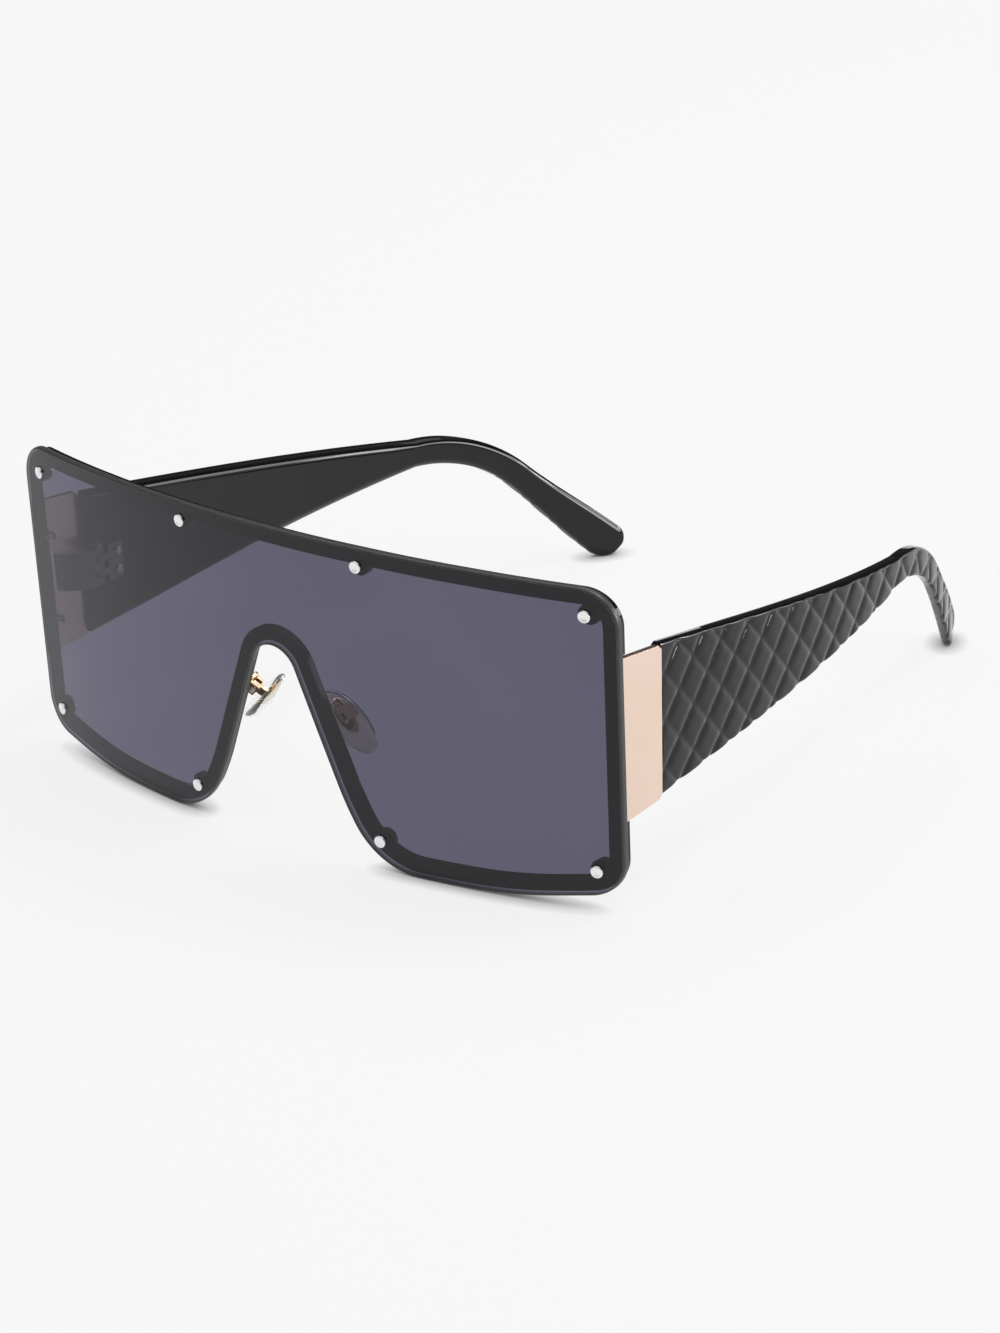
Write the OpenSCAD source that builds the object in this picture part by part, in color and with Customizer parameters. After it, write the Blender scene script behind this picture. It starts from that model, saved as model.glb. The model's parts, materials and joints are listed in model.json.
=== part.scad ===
// Oversized shield sunglasses: one bent lens riveted to a rim, metal end plates,
// quilted temples on five-knuckle hinges, and rocking nose pads on wire arms.
// +X is the wearer's left, the lens faces -Y, +Z is up, and the ground is z = 0.
// The origin is the middle of the footprint, on the ground.

/* [Lens] */
// Width of the lens across its upper outer corners
lens_w = 150; // [144:0.5:158]
// Width of the lens across its lower outer corners
lens_low_w = 147.8; // [142:0.2:156]
// Height of the upper outer corners above the lowest part of the lens
lens_side_h = 64.7; // [61:0.1:70]
// Rise of the brow from those corners to the middle, before its arc rounds it
brow_rise = 2.45; // [1:0.05:4]
// Radius of the upper outer corners
corner_top_r = 7.9; // [6:0.1:9]
// Radius of the lower outer corners
corner_low_r = 7.6; // [6:0.1:9]
// Height of the lower outer corners above the lowest part of the lens
low_corner_h = 4; // [2:0.1:6]
// Thickness of the lens
lens_t = 1.5; // [1.2:0.1:2]
// Radius to which the lens is bent, round an upright axis behind it
lens_r = 239.6; // [220:0.2:300]
// Lean of the lens's top towards the front, in degrees
lens_lean = 1.83; // [0.5:0.01:4]

/* [Nose notch] */
// Distance from the middle to the foot of each side of the notch
notch_foot_x = 22.2; // [20:0.1:24]
// Radius of the lobe at that foot
notch_foot_r = 16.35; // [12:0.05:18]
// Distance from the middle to the bend in each side of the notch
notch_bend_x = 15.4; // [14:0.1:17]
// Height of that bend
notch_bend_h = 12.45; // [10:0.05:15]
// Radius of that bend
notch_bend_r = 60; // [40:1:80]
// Height at which the two sides of the notch would meet
notch_peak_h = 51.15; // [46:0.05:54]
// Radius of the top of the notch
notch_top_r = 5.66; // [4.5:0.01:6.5]

/* [Rim] */
// Thickness of the rim frame behind the lens
rim_t = 1.4; // [1.2:0.1:2]
// Width of the rim's band, from the lens's edge to the rim's window
rim_band = 3.6; // [3.4:0.1:4.4]
// How far the rim's outer edge lies inside the lens's edge
rim_inset = 0.4; // [0.2:0.05:0.8]
// How much further in the rim's edge lies at its back
rim_step = 0.7; // [0.3:0.05:0.9]
// Radius of the bosses round the rivets
boss_r = 2.05; // [1.8:0.05:2.8]

/* [Rivets] */
// Radius of a rivet's head
rivet_head_r = 1.25; // [1.1:0.05:1.7]
// Thickness of a rivet's head
rivet_head_t = 0.4; // [0.3:0.05:0.7]
// Radius of a rivet's shank
rivet_r = 0.7; // [0.5:0.05:0.9]

/* [End plates] */
// Length of an end plate from the lens's back to its rear edge
plate_len = 11.1; // [10.5:0.1:13]
// Height of an end plate at its rear edge
plate_h = 30.8; // [29:0.1:32]
// Thickness of an end plate
plate_t = 1.2; // [1:0.1:1.4]

/* [Temples] */
// Height of a temple at its front end
temple_h = 30.4; // [28:0.1:31]
// Straight length of a temple, from its front end to the bend over the ear
temple_straight = 90; // [84:0.5:96]
// Radius of the bend over the ear
bend_r = 36.6; // [30:0.1:42]
// Slope of the temple behind the bend, in degrees
tail_angle = 45.3; // [42:0.1:50]
// Length of the temple behind the bend, up to its round end
tail_len = 26.7; // [24:0.1:29]
// Height of a temple where the bend starts
ear_h = 6; // [5.5:0.1:8]
// Height of a temple at the end of the bend
neck_h = 5.5; // [5:0.1:8]
// Height of a temple at its tip
tip_h = 7.7; // [6:0.1:9]
// Thickness of a temple at its front end
temple_t0 = 2.9; // [2.7:0.1:3.4]
// Thickness of a temple along its length
temple_t = 3.4; // [3.2:0.1:4.6]
// Depth of the quilting grooves
quilt_depth = 0.45; // [0.3:0.05:0.8]
// Length of a quilted diamond
quilt_pitch = 9.1; // [7:0.1:11]
// Height of a quilted diamond
quilt_rise = 9.4; // [8:0.1:11]

/* [Hinges] */
// Height of a hinge over its five knuckles
hinge_h = 8; // [7:0.1:10]
// Radius of a hinge knuckle
knuckle_r = 1.55; // [1.4:0.05:1.7]
// Radius of a hinge screw
pin_r = 0.7; // [0.5:0.05:0.8]

/* [Nose pads] */
// Length of a nose pad
pad_len = 15.3; // [13:0.1:17]
// Width of a nose pad
pad_w = 7.1; // [6.5:0.1:8.5]
// Thickness of a nose pad at its middle
pad_t = 1.95; // [1.8:0.05:2.4]
// Radius of a pad arm's wire
wire_r = 0.55; // [0.4:0.05:0.7]

/* [Hidden] */
$fn = 64;

// Clearances and the overrun of all cuts
fit_gap = 0.05;      // radial play of a pin, screw or rivet in its hole, and between stacked parts
side_gap = 0.1;      // beside an end plate, and between knuckles
seam_gap = 0.35;     // between an end plate and its temple
cut = 5;             // overrun of cuts

// Lens outline, rivets and rim
lobe_x_share = 0.6915; // outer end of the lobe's bottom, on the way out to the low corner
lobe_h = 0.36;
lobe_round_share = 0.38; // part of the way to the low corner that the lobe's arc takes
arc_step = 6;        // degrees of arc for each straight stretch of an outline
rivet_side_in = 6.2; // upper outer rivets, in from the side and down from the corner
rivet_top_in = 5.2;
rivet_low_side_in = 5.1;
rivet_low_in = 4.25;
rivet_brow_x = 22.2; // upper inner rivets
rivet_brow_in = 2.5;
rivet_foot_x = 23.5; // lower inner rivets
rivet_foot_h = 6.2;
rivet_tail_r = 1.15; // peened tails behind the rim
rivet_tail_t = 0.35;
rim_front_t = 0.95;  // the part of the rim's thickness with the wider outline

// End plates
plate_inset = 0.26;     // outer face of an end plate, in from the lens's side
plate_flare = 1;        // extra height of the plate's front edge, above and below
plate_chamfer = 0.9;    // cut corners of the plate
flange_w = 2.2;         // flange behind the rim
flange_t = 1.1;
flange_h = 26;
flange_screw_r = 0.45;
flange_screw_head_r = 0.85;
flange_screw_head_t = 0.5;
flange_screw_spread = 18;
flange_screw_bite = 1;  // depth in the rim

// Temples in plan: how far the outer face comes in along the arm
splay_in = 4.7;
hook_in = 23.9;
hook_power = 3;
straight_slope = 1;      // degrees by which the straight part drops
temple_tip_t = 3.2;
temple_swell = 22;       // length over which the thickness grows from the front end
crown = 0.35;            // swell of the outer face over its height
edge_round = 0.35;       // extra roll-off at the outer face's edges
tip_round = 1.2;         // how far each face rounds in at the tip
bevel_h = 1.9;           // bevels along the inner face
bevel_t = 0.9;
scallop_low = 0.35;      // notches that the quilting leaves in the edges
scallop_top = 0.1;
quilt_start = 10.3;      // first crossing of the grooves on the row through the middle
quilt_slope_share = 0.055; // rise of the rows of diamonds there, for their length
quilt_bow_r = 1100;      // radius in which the rows arch
stations = 96;
rows = 16;

// Hinges
knuckles = 5;
hinge_x_gap = 0.15;      // between the knuckles and the temple's end
block_t = 3;             // thickness of both hinge blocks
front_block_len = 5.7;
rear_block_len = 5.4;
rear_block_gap = 0.35;   // between a knuckle's edge and the rear block
hinge_head_r = 1.25;
hinge_head_t = 0.6;
slot_w = 0.35;           // screwdriver slots
slot_depth = 0.3;
leaf_screw_r = 0.5;
leaf_screw_head_r = 0.9;
leaf_screw_head_t = 0.4;
leaf_screw_bite = 1.5;   // depth in the temple
leaf_screw_spread = 4;

// Nose pads: the middle of the left pad, and how it is turned
pad_x = 11;
pad_y = 8;
pad_z = 25.4;
pad_lean = 48;           // degrees: top in towards the nose
pad_pitch = 3.3;         // degrees: top towards the front
pad_splay = 28;          // degrees: rear edge away from the nose
pad_back_t = 0.95;       // part of the pad's thickness behind its middle plane
pad_dome_r = 30;
mount_up = 0.8;          // pad's mount above the pad's middle, along the pad
holder_len = 7;
holder_w = 3;
holder_t = 0.5;
holder_sunk = 0.3;       // cover of pad behind the holder
lug_t = 0.9;
lug_r = 1.05;
pad_pivot_back = 3.2;    // screw's distance behind the pad's middle plane
pad_screw_r = 0.5;
pad_screw_head_r = 0.8;
pad_screw_head_t = 0.35;
box_h = 3;
box_wall = 0.7;
box_front = 1.15;        // box's front, in front of the screw
box_back = 1.9;          // box's back, behind the screw
arm_foot_x = 10.7;
arm_foot_h = 30.6;
arm_foot_r = 1.1;
arm_foot_t = 0.5;
arm_pin_r = 0.5;
arm_pin_len = 0.9;
arm_reach = 2.8;         // how far the wire bows from its foot and from its box
wire_rings = 14;
wire_sides = 10;

// Outline arithmetic. A corner is [x, height, radius]; corners run clockwise.
function xy(p) = [p.x, p.y];
function heading(a, b) = (xy(b) - xy(a)) / norm(xy(b) - xy(a));
function arriving(c, i) = heading(c[(i + len(c) - 1) % len(c)], c[i]);
function leaving(c, i) = heading(c[i], c[(i + 1) % len(c)]);
function inward(u) = [u.y, -u.x];
function turn(c, i) = acos(min(1, arriving(c, i) * leaving(c, i)));
function side(c, i) = cross(arriving(c, i), leaving(c, i)) < 0 ? 1 : -1;
function mitre(c, i) =
    let (a = inward(arriving(c, i)), b = inward(leaving(c, i)))
    (a + b) / (1 + a * b);
function shrink(c, d) =
    [for (i = [0:len(c) - 1])
        let (p = xy(c[i]) + d * mitre(c, i))
        [p.x, p.y, c[i][2] - side(c, i) * d]];
function corner_arc(c, i) =
    let (s = side(c, i),
         centre = xy(c[i]) + s * c[i][2] * mitre(c, i),
         from = -s * inward(arriving(c, i)),
         n = ceil(turn(c, i) / arc_step) + 3)
    [for (k = [0:n])
        let (a = -s * turn(c, i) * k / n)
        centre + c[i][2] * [from.x * cos(a) - from.y * sin(a), from.x * sin(a) + from.y * cos(a)]];

// The lens's corners; the brow's arc runs from corner to corner
side_corner = [lens_w / 2, lens_side_h];
brow_peak = [0, lens_side_h + brow_rise];
low_corner = [lens_low_w / 2, low_corner_h];
lobe_end = [low_corner.x * lobe_x_share, lobe_h];
notch_foot = [notch_foot_x, 0];
lobe_turn = acos(heading(low_corner, lobe_end) * heading(lobe_end, notch_foot));
lobe_r = lobe_round_share * norm(low_corner - lobe_end) / tan(lobe_turn / 2);
notch_bend = [notch_bend_x, notch_bend_h];
notch_peak = [0, notch_peak_h];
brow_dir = heading(brow_peak, side_corner);
corner_run = corner_top_r * tan(acos(brow_dir * heading(side_corner, low_corner)) / 2);
brow_turn = 2 * atan(brow_rise / side_corner.x);
brow_r = (norm(side_corner - brow_peak) - corner_run) / tan(brow_turn / 2);
brow_h = brow_peak.y - brow_r * (1 / cos(brow_turn / 2) - 1);
function with_r(p, r) = [p.x, p.y, r];
function flip(c) = [-c.x, c.y, c[2]];
half = [with_r(side_corner, corner_top_r), with_r(low_corner, corner_low_r),
        with_r(lobe_end, lobe_r), with_r(notch_foot, notch_foot_r),
        with_r(notch_bend, notch_bend_r)];
lens_corners = concat([with_r(brow_peak, brow_r)], half, [with_r(notch_peak, notch_top_r)],
                      [for (i = [len(half) - 1:-1:0]) flip(half[i])]);
rivet_spots = [[side_corner.x - rivet_side_in, lens_side_h - rivet_top_in],
               [rivet_brow_x, lens_side_h - rivet_brow_in],
               [low_corner.x - rivet_low_side_in, low_corner_h + rivet_low_in],
               [rivet_foot_x, rivet_foot_h]];

// Depths behind the lens's front, along its radius
rim_front = lens_t + fit_gap;
rim_back = rim_front + rim_t;

// Places on the bent, leaning lens
function sag(x, d) = lens_r - sqrt(pow(lens_r - d, 2) - x * x);
function swing(x) = asin(x / lens_r);
lobe_run = notch_foot_r * tan(acos(heading(lobe_end, notch_foot) * heading(notch_foot, notch_bend)) / 2);
rest_spot = notch_foot + lobe_run * heading(notch_foot, lobe_end);
lens_drop = sag(rest_spot.x, 0) * sin(lens_lean) + rest_spot.y * cos(lens_lean);
function lean(p) = [p.x, p.y * cos(lens_lean) - p.z * sin(lens_lean),
                    p.y * sin(lens_lean) + p.z * cos(lens_lean) - lens_drop];
function on_lens(x, h, d) =
    lean([(lens_r - d) * sin(swing(x)), lens_r - (lens_r - d) * cos(swing(x)), h]);

// Temple's side view: a straight, a bend and a tail, set so that the tip rests on the ground
bend_turn = tail_angle - straight_slope;
bend_len = bend_r * bend_turn * PI / 180;
tip_r = tip_h / 2;
arm_len = temple_straight + bend_len + tail_len;
bend_drop = bend_r * (cos(straight_slope) - cos(tail_angle));
bend_reach = bend_r * (sin(tail_angle) - sin(straight_slope));
arm_z = tip_r + tail_len * sin(tail_angle) + bend_drop + temple_straight * sin(straight_slope);
arm_top = arm_z + temple_h / 2;

// The end plate leans out with the lens's side, round a point at its middle height
plate_mid_h = arm_top - plate_h / 2;
side_slope = (side_corner.x - low_corner.x) / (lens_side_h - low_corner_h);
side_lean = atan(side_slope);
side_x = low_corner.x + side_slope * (plate_mid_h - low_corner_h);
plate_out_x = side_x - plate_inset;
plate_in_x = plate_out_x - plate_t;
function plate_front(h) =
    let (x = plate_out_x + side_slope * (h - plate_mid_h))
    on_lens(x, h, 0).y + sag(x, lens_t) - sag(x, 0) + fit_gap;

// Where the end plate and the temple meet
plate_rear_y = plate_front(plate_mid_h) + plate_len;
seam_y = plate_rear_y + seam_gap;
arm_reach_y = temple_straight * cos(straight_slope) + bend_reach + tail_len * cos(tail_angle);
tip_y = seam_y + arm_reach_y + tip_r;
brow_y = -brow_h * sin(lens_lean);
mid_y = (tip_y + brow_y) / 2;

// Hinge axis and pad mount
hinge_x = plate_out_x - temple_t0 - hinge_x_gap - knuckle_r;
hinge_y = seam_y;
hinge_z = arm_z;
knuckle_h = hinge_h / knuckles;

module centred() {
    translate([0, -mid_y, 0]) children();
}

module both_sides() {
    children();
    mirror([1, 0, 0]) children();
}

module on_side(left) {
    if (left) children();
    else mirror([1, 0, 0]) children();
}

// The lens's own frame, before it leans
module leaning() {
    translate([0, 0, -lens_drop]) rotate([lens_lean, 0, 0]) children();
}

// A frame square to the lens at a spot, with +Y going straight back into it
module at_lens(spot) {
    translate([lens_r * sin(swing(spot.x)), lens_r * (1 - cos(swing(spot.x))), spot.y])
        rotate([0, 0, swing(spot.x)]) children();
}

// A cylinder along +Y, from one depth to another
module along_y(r, from, to) {
    translate([0, from, 0]) rotate([-90, 0, 0]) cylinder(r = r, h = to - from);
}

module outline(d) {
    c = shrink(lens_corners, d);
    polygon([for (i = [0:len(c) - 1]) each corner_arc(c, i)]);
}

// A layer of the bend between two depths, cut to the 2D shape of its children
module bent_layer(front, back) {
    depth = sag(side_corner.x, rim_back + flange_t) + cut;
    intersection() {
        translate([0, depth, 0]) rotate([90, 0, 0]) linear_extrude(depth + cut) children();
        translate([0, lens_r, -cut]) difference() {
            cylinder(r = lens_r - front, h = brow_h + 2 * cut, $fn = 720);
            translate([0, 0, -cut]) cylinder(r = lens_r - back, h = brow_h + 4 * cut, $fn = 720);
        }
    }
}

module rivet_holes(r) {
    both_sides() for (spot = rivet_spots) at_lens(spot) along_y(r, -cut, rim_back + cut);
}

module shield_lens() {
    color([0.24, 0.24, 0.29, 0.6]) centred() leaning() difference() {
        bent_layer(0, lens_t) outline(0);
        rivet_holes(rivet_r + fit_gap);
    }
}

// One layer of the rim, seen from the front
module rim_shape(d) {
    difference() {
        outline(d);
        difference() {
            outline(rim_band);
            both_sides() for (spot = rivet_spots) translate(spot) circle(boss_r);
        }
        both_sides() plate_recess();
    }
}

// An outline shape beside the end plate, leaning with it
module beside_plate() {
    translate([plate_in_x, plate_mid_h]) rotate(-side_lean) children();
}

// The rim makes room for the end plate beside it
module plate_recess() {
    half_h = plate_h / 2 + plate_flare + side_gap;
    beside_plate() translate([-side_gap, -half_h]) square([cut, 2 * half_h]);
}

module rim_frame() {
    color([0.05, 0.05, 0.055]) centred() leaning() difference() {
        union() {
            bent_layer(rim_front, rim_front + rim_front_t) rim_shape(rim_inset);
            bent_layer(rim_front, rim_back) rim_shape(rim_inset + rim_step);
        }
        rivet_holes(rivet_r + fit_gap);
        flange_holes(flange_screw_r + fit_gap, rim_back - flange_screw_bite - side_gap);
        both_sides() at_lens([arm_foot_x, arm_foot_h])
            along_y(arm_pin_r + fit_gap, rim_back - arm_pin_len - side_gap, rim_back + cut);
    }
}

module lens_rivets() {
    color([0.85, 0.85, 0.86]) centred() leaning() both_sides()
        for (spot = rivet_spots) at_lens(spot) {
            along_y(rivet_head_r, -rivet_head_t - fit_gap, -fit_gap);
            along_y(rivet_r, -rivet_head_t, rim_back + rivet_tail_t);
            along_y(rivet_tail_r, rim_back + fit_gap, rim_back + fit_gap + rivet_tail_t);
        }
}

// The end plate: a wall beside the rim, and a flange behind the rim
flange_screw_x = (plate_in_x - side_gap + side_x - rim_band) / 2;
function flange_spots() =
    [for (s = [-1, 1])
        let (up = s * flange_screw_spread / 2)
        [flange_screw_x + side_slope * up, plate_mid_h + up]];

module flange_holes(r, from) {
    both_sides() for (spot = flange_spots()) at_lens(spot) along_y(r, from, rim_back + cut);
}

// A frame on the plate's inner face, at its middle height
module on_plate() {
    translate([plate_in_x, 0, plate_mid_h]) rotate([0, side_lean, 0]) children();
}

module end_plate(left) {
    up = plate_h / 2;
    front_up = up + plate_flare;
    k = plate_chamfer;
    color([0.9, 0.81, 0.74]) centred() on_side(left) {
        on_plate() rotate([90, 0, 90]) linear_extrude(plate_t)
            polygon([[plate_front(plate_mid_h + front_up), front_up], [plate_rear_y - k, up],
                     [plate_rear_y, up - k], [plate_rear_y, k - up],
                     [plate_rear_y - k, -up], [plate_front(plate_mid_h - front_up), -front_up]]);
        leaning() difference() {
            bent_layer(rim_back + fit_gap, rim_back + fit_gap + flange_t) beside_plate()
                translate([plate_t / 2 - flange_w, -flange_h / 2]) square([flange_w, flange_h]);
            flange_holes(flange_screw_r + fit_gap, 0);
        }
    }
}

module end_plate_screws() {
    seat = rim_back + fit_gap + flange_t + fit_gap;
    color([0.75, 0.68, 0.6]) centred() leaning() both_sides()
        for (spot = flange_spots()) at_lens(spot) difference() {
            union() {
                along_y(flange_screw_r, rim_back - flange_screw_bite, seat + fit_gap);
                along_y(flange_screw_head_r, seat, seat + flange_screw_head_t);
            }
            translate([-cut, seat + flange_screw_head_t - slot_depth, -slot_w / 2])
                cube([2 * cut, cut, slot_w]);
        }
}

// Knuckles of one hinge half: the eyes and the fingers that carry them
module fingers(levels, reach) {
    for (k = levels)
        translate([hinge_x, hinge_y, hinge_z - hinge_h / 2 + k * knuckle_h + side_gap / 2]) {
            cylinder(r = knuckle_r, h = knuckle_h - side_gap);
            translate([-knuckle_r, min(reach, 0), 0])
                cube([2 * knuckle_r, abs(reach), knuckle_h - side_gap]);
        }
}

module hinge_bore() {
    translate([hinge_x, hinge_y, hinge_z - hinge_h / 2 - cut])
        cylinder(r = pin_r + fit_gap, h = hinge_h + 2 * cut);
}

module front_hinge(left) {
    rear = hinge_y - knuckle_r - rear_block_gap;
    color([0.55, 0.52, 0.5]) centred() on_side(left) difference() {
        union() {
            difference() {
                translate([plate_in_x, 0, hinge_z - hinge_h / 2 + side_gap / 2])
                    linear_extrude(hinge_h - side_gap)
                    polygon([[cut, rear], [cut, rear - front_block_len],
                             [-block_t / 2, rear - front_block_len],
                             [-block_t, rear - front_block_len + block_t / 2],
                             [hinge_x - knuckle_r - plate_in_x, rear - block_t / 4],
                             [hinge_x - knuckle_r - plate_in_x, rear]]);
                on_plate() translate([0, rear - front_block_len - cut, -hinge_h])
                    cube([3 * cut, front_block_len + 2 * cut, 2 * hinge_h]);
            }
            fingers([0, 2, 4], -(knuckle_r + rear_block_gap + block_t / 4));
        }
        hinge_bore();
    }
}

module temple_hinge(left) {
    front = hinge_y + knuckle_r + rear_block_gap;
    color([0.55, 0.52, 0.5]) centred() on_side(left) difference() {
        union() {
            translate([0, 0, hinge_z - hinge_h / 2 + side_gap / 2])
                linear_extrude(hinge_h - side_gap)
                polygon([[leaf_x(front), front], [leaf_x(front + rear_block_len), front + rear_block_len],
                         [leaf_x(front + rear_block_len) - block_t / 2, front + rear_block_len],
                         [hinge_x - knuckle_r, front + rear_block_len - block_t / 2],
                         [hinge_x - knuckle_r, front]]);
            fingers([1, 3], knuckle_r + rear_block_gap + block_t / 4);
        }
        hinge_bore();
        for (spot = leaf_spots()) along_x(spot, leaf_screw_r + fit_gap, -cut, cut);
    }
}

// Seat of the temple's hinge block on the temple's inner face
function leaf_x(y) = inner_x(y) - fit_gap;
function leaf_spots() =
    let (y = hinge_y + knuckle_r + rear_block_gap + rear_block_len / 2)
    [for (s = [-1, 1]) [inner_x(y), y, hinge_z + s * leaf_screw_spread / 2]];

// A cylinder along +X through a spot
module along_x(spot, r, from, to) {
    translate(spot + [from, 0, 0]) rotate([0, 90, 0]) cylinder(r = r, h = to - from);
}

module temple_screws(left) {
    color([0.7, 0.68, 0.66]) centred() on_side(left) for (spot = leaf_spots()) {
        seat = hinge_x - knuckle_r - spot.x;
        difference() {
            union() {
                along_x(spot, leaf_screw_r, seat - fit_gap, leaf_screw_bite);
                along_x(spot, leaf_screw_head_r, seat - fit_gap - leaf_screw_head_t, seat - fit_gap);
            }
            translate(spot + [seat - fit_gap - leaf_screw_head_t - cut, -cut, -slot_w / 2])
                cube([cut + slot_depth, 2 * cut, slot_w]);
        }
    }
}

module hinge_screw(left) {
    top = hinge_z + hinge_h / 2;
    color([0.7, 0.68, 0.66]) centred() on_side(left) difference() {
        union() {
            translate([hinge_x, hinge_y, top - hinge_h]) cylinder(r = pin_r, h = hinge_h + fit_gap);
            translate([hinge_x, hinge_y, top]) cylinder(r = hinge_head_r, h = hinge_head_t);
        }
        translate([hinge_x - cut, hinge_y - slot_w / 2, top + hinge_head_t - slot_depth])
            cube([2 * cut, slot_w, cut]);
    }
}

// Temple: path [y, z, slope] of its middle line at a length s from the front end
function path(s) =
    s <= temple_straight
        ? [seam_y + s * cos(straight_slope), arm_z - s * sin(straight_slope), straight_slope]
    : s <= temple_straight + bend_len
        ? let (a = straight_slope + (s - temple_straight) / bend_r * 180 / PI)
          [seam_y + temple_straight * cos(straight_slope) + bend_r * (sin(a) - sin(straight_slope)),
           arm_z - temple_straight * sin(straight_slope) - bend_r * (cos(straight_slope) - cos(a)), a]
    : let (t = s - temple_straight - bend_len)
      [seam_y + arm_reach_y - (tail_len - t) * cos(tail_angle),
       tip_r + (tail_len - t) * sin(tail_angle), tail_angle];
function ease(t) = let (u = max(0, min(1, t))) u * u * (3 - 2 * u);
function blend(a, b, t) = a + (b - a) * t;
// Half height of the temple, and its round end past the arm's length
function half_h(s) =
    (s < temple_straight ? blend(temple_h, ear_h, s / temple_straight)
     : s < arm_len ? blend(blend(ear_h, neck_h, ease((s - temple_straight) / bend_len)), tip_h,
                           ease((s - temple_straight - bend_len) / tail_len))
     : 2 * sqrt(max(0, pow(tip_r, 2) - pow(s - arm_len, 2)))) / 2;
function thick(y) =
    let (s = y - seam_y)
    blend(blend(temple_t0, temple_t, ease(s / temple_swell)), temple_tip_t, ease(s / arm_len));
// Outer and inner face in plan
function outer_x(y) =
    let (u = max(0, (y - seam_y) / (tip_y - seam_y)))
    plate_out_x - splay_in * u - hook_in * pow(u, hook_power);
function inner_x(y) = outer_x(y) - thick(y);
// Quilting: rows of diamonds in a shallow arch, as pillows between V grooves
function quilt_row(s) =
    let (d = s - quilt_start) quilt_slope_share * d - d * d / (2 * quilt_bow_r);
function tooth(x) = abs(2 * (x - floor(x)) - 1);
function pillow(s, t) =
    let (a = (s - quilt_start) / quilt_pitch, b = (t - quilt_row(s)) / quilt_rise)
    (1 - pow(tooth(a + b), 2)) * (1 - pow(tooth(a - b), 2));
function scallop(s, v) =
    (v < 0 ? scallop_low : scallop_top) * (1 - pillow(s, v * half_h(s))) * pow(abs(v), 6)
    * (1 - ease((s - temple_straight) / bend_len));

// One ring of the temple: outer face from bottom to top, then the bevelled inner face
function tip_share(s) = sqrt(max(0, 1 - pow(max(0, s - arm_len) / tip_r, 2)));
function in_ring(s, t) =
    let (p = path(min(s, arm_len)), over = max(0, s - arm_len))
    [p.x + over * cos(p.z) + t * sin(p.z), p.y - over * sin(p.z) + t * cos(p.z)];
function outer_point(s, v) =
    let (t = v * max(half_h(s) - scallop(s, v), half_h(s) / 2),
         c = in_ring(s, t),
         k = tip_share(s),
         drop = crown * v * v + edge_round * pow(abs(v), 12) + quilt_depth * (1 - pillow(s, t)))
    [outer_x(c.x) - drop * k - tip_round * (1 - k), c.x, c.y];
function inner_point(s, v, lift) =
    let (b = min(bevel_h, half_h(s) / 2),
         c = in_ring(s, v * (half_h(s) - (lift > 0 ? 0 : b))),
         k = tip_share(s))
    [inner_x(c.x) + lift * bevel_t * k + tip_round * (1 - k), c.x, c.y];
function ring(s) = concat([for (j = [0:rows]) outer_point(s, 2 * j / rows - 1)],
                          [inner_point(s, 1, 1), inner_point(s, 1, 0),
                           inner_point(s, -1, 0), inner_point(s, -1, 1)]);

cap_steps = [20, 40, 60, 75, 85];
station_s = concat([for (i = [0:stations]) arm_len * i / stations],
                   [for (a = cap_steps) arm_len + tip_r * sin(a)]);

module temple_body() {
    rings = [for (s = station_s) ring(s)];
    n = len(rings[0]);
    m = len(rings);
    points = [for (r = rings) each r];
    // each quad is split along the diagonal that lies closer to the quilted surface
    function quad(i, j) =
        let (k = (j + 1) % n,
             a = i * n + j, b = i * n + k, c = (i + 1) * n + k, d = (i + 1) * n + j,
             s = (station_s[i] + station_s[i + 1]) / 2,
             v = (2 * j + 1) / rows - 1,
             x = j < rows ? outer_point(s, v).x : 0,
             ac = abs((points[a].x + points[c].x) / 2 - x),
             bd = abs((points[b].x + points[d].x) / 2 - x))
        (j < rows && ac > bd) ? [[a, b, d], [b, c, d]] : [[a, b, c], [a, c, d]];
    faces = concat([[for (j = [n - 1:-1:0]) j]],
                   [for (i = [0:m - 2], j = [0:n - 1]) each quad(i, j)],
                   [[for (j = [0:n - 1]) (m - 1) * n + j]]);
    polyhedron(points, faces, convexity = 10);
}

module temple(left) {
    color([0.07, 0.07, 0.075]) centred() on_side(left) difference() {
        temple_body();
        for (spot = leaf_spots())
            along_x(spot, leaf_screw_r + fit_gap, -cut, leaf_screw_bite + side_gap);
    }
}

// Nose pads: a frame at the pad's middle, with -X facing the nose and +Z along the pad
module at_pad() {
    translate([pad_x, pad_y, pad_z]) rotate([0, -pad_lean, 0]) rotate([pad_pitch, 0, 0])
        rotate([0, 0, -pad_splay]) children();
}
function turn_z(p, a) = [p.x * cos(a) - p.y * sin(a), p.x * sin(a) + p.y * cos(a), p.z];
function turn_x(p, a) = [p.x, p.y * cos(a) - p.z * sin(a), p.y * sin(a) + p.z * cos(a)];
function turn_y(p, a) = [p.x * cos(a) + p.z * sin(a), p.y, p.z * cos(a) - p.x * sin(a)];
function from_pad(p) = [pad_x, pad_y, pad_z]
    + turn_y(turn_x(turn_z(p, -pad_splay), pad_pitch), -pad_lean);
function oval(l, w) = [for (a = [0:10:350]) [l / 2 * cos(a), w / 2 * sin(a)]];

// An oval plate square to the pad's X axis, long along its Z axis
module oval_plate(l, w, from, to) {
    translate([from, 0, 0]) rotate([0, 90, 0]) linear_extrude(to - from) polygon(oval(l, w));
}

holder_back = pad_back_t - holder_sunk;

module holder_shape(grow) {
    translate([0, 0, mount_up]) {
        oval_plate(holder_len + 2 * grow, holder_w + 2 * grow,
                   holder_back - holder_t - grow, holder_back + grow);
        translate([holder_back - grow, -lug_t / 2 - grow, -lug_r - grow])
            cube([pad_pivot_back - holder_back + grow, lug_t + 2 * grow, 2 * (lug_r + grow)]);
    }
}

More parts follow.
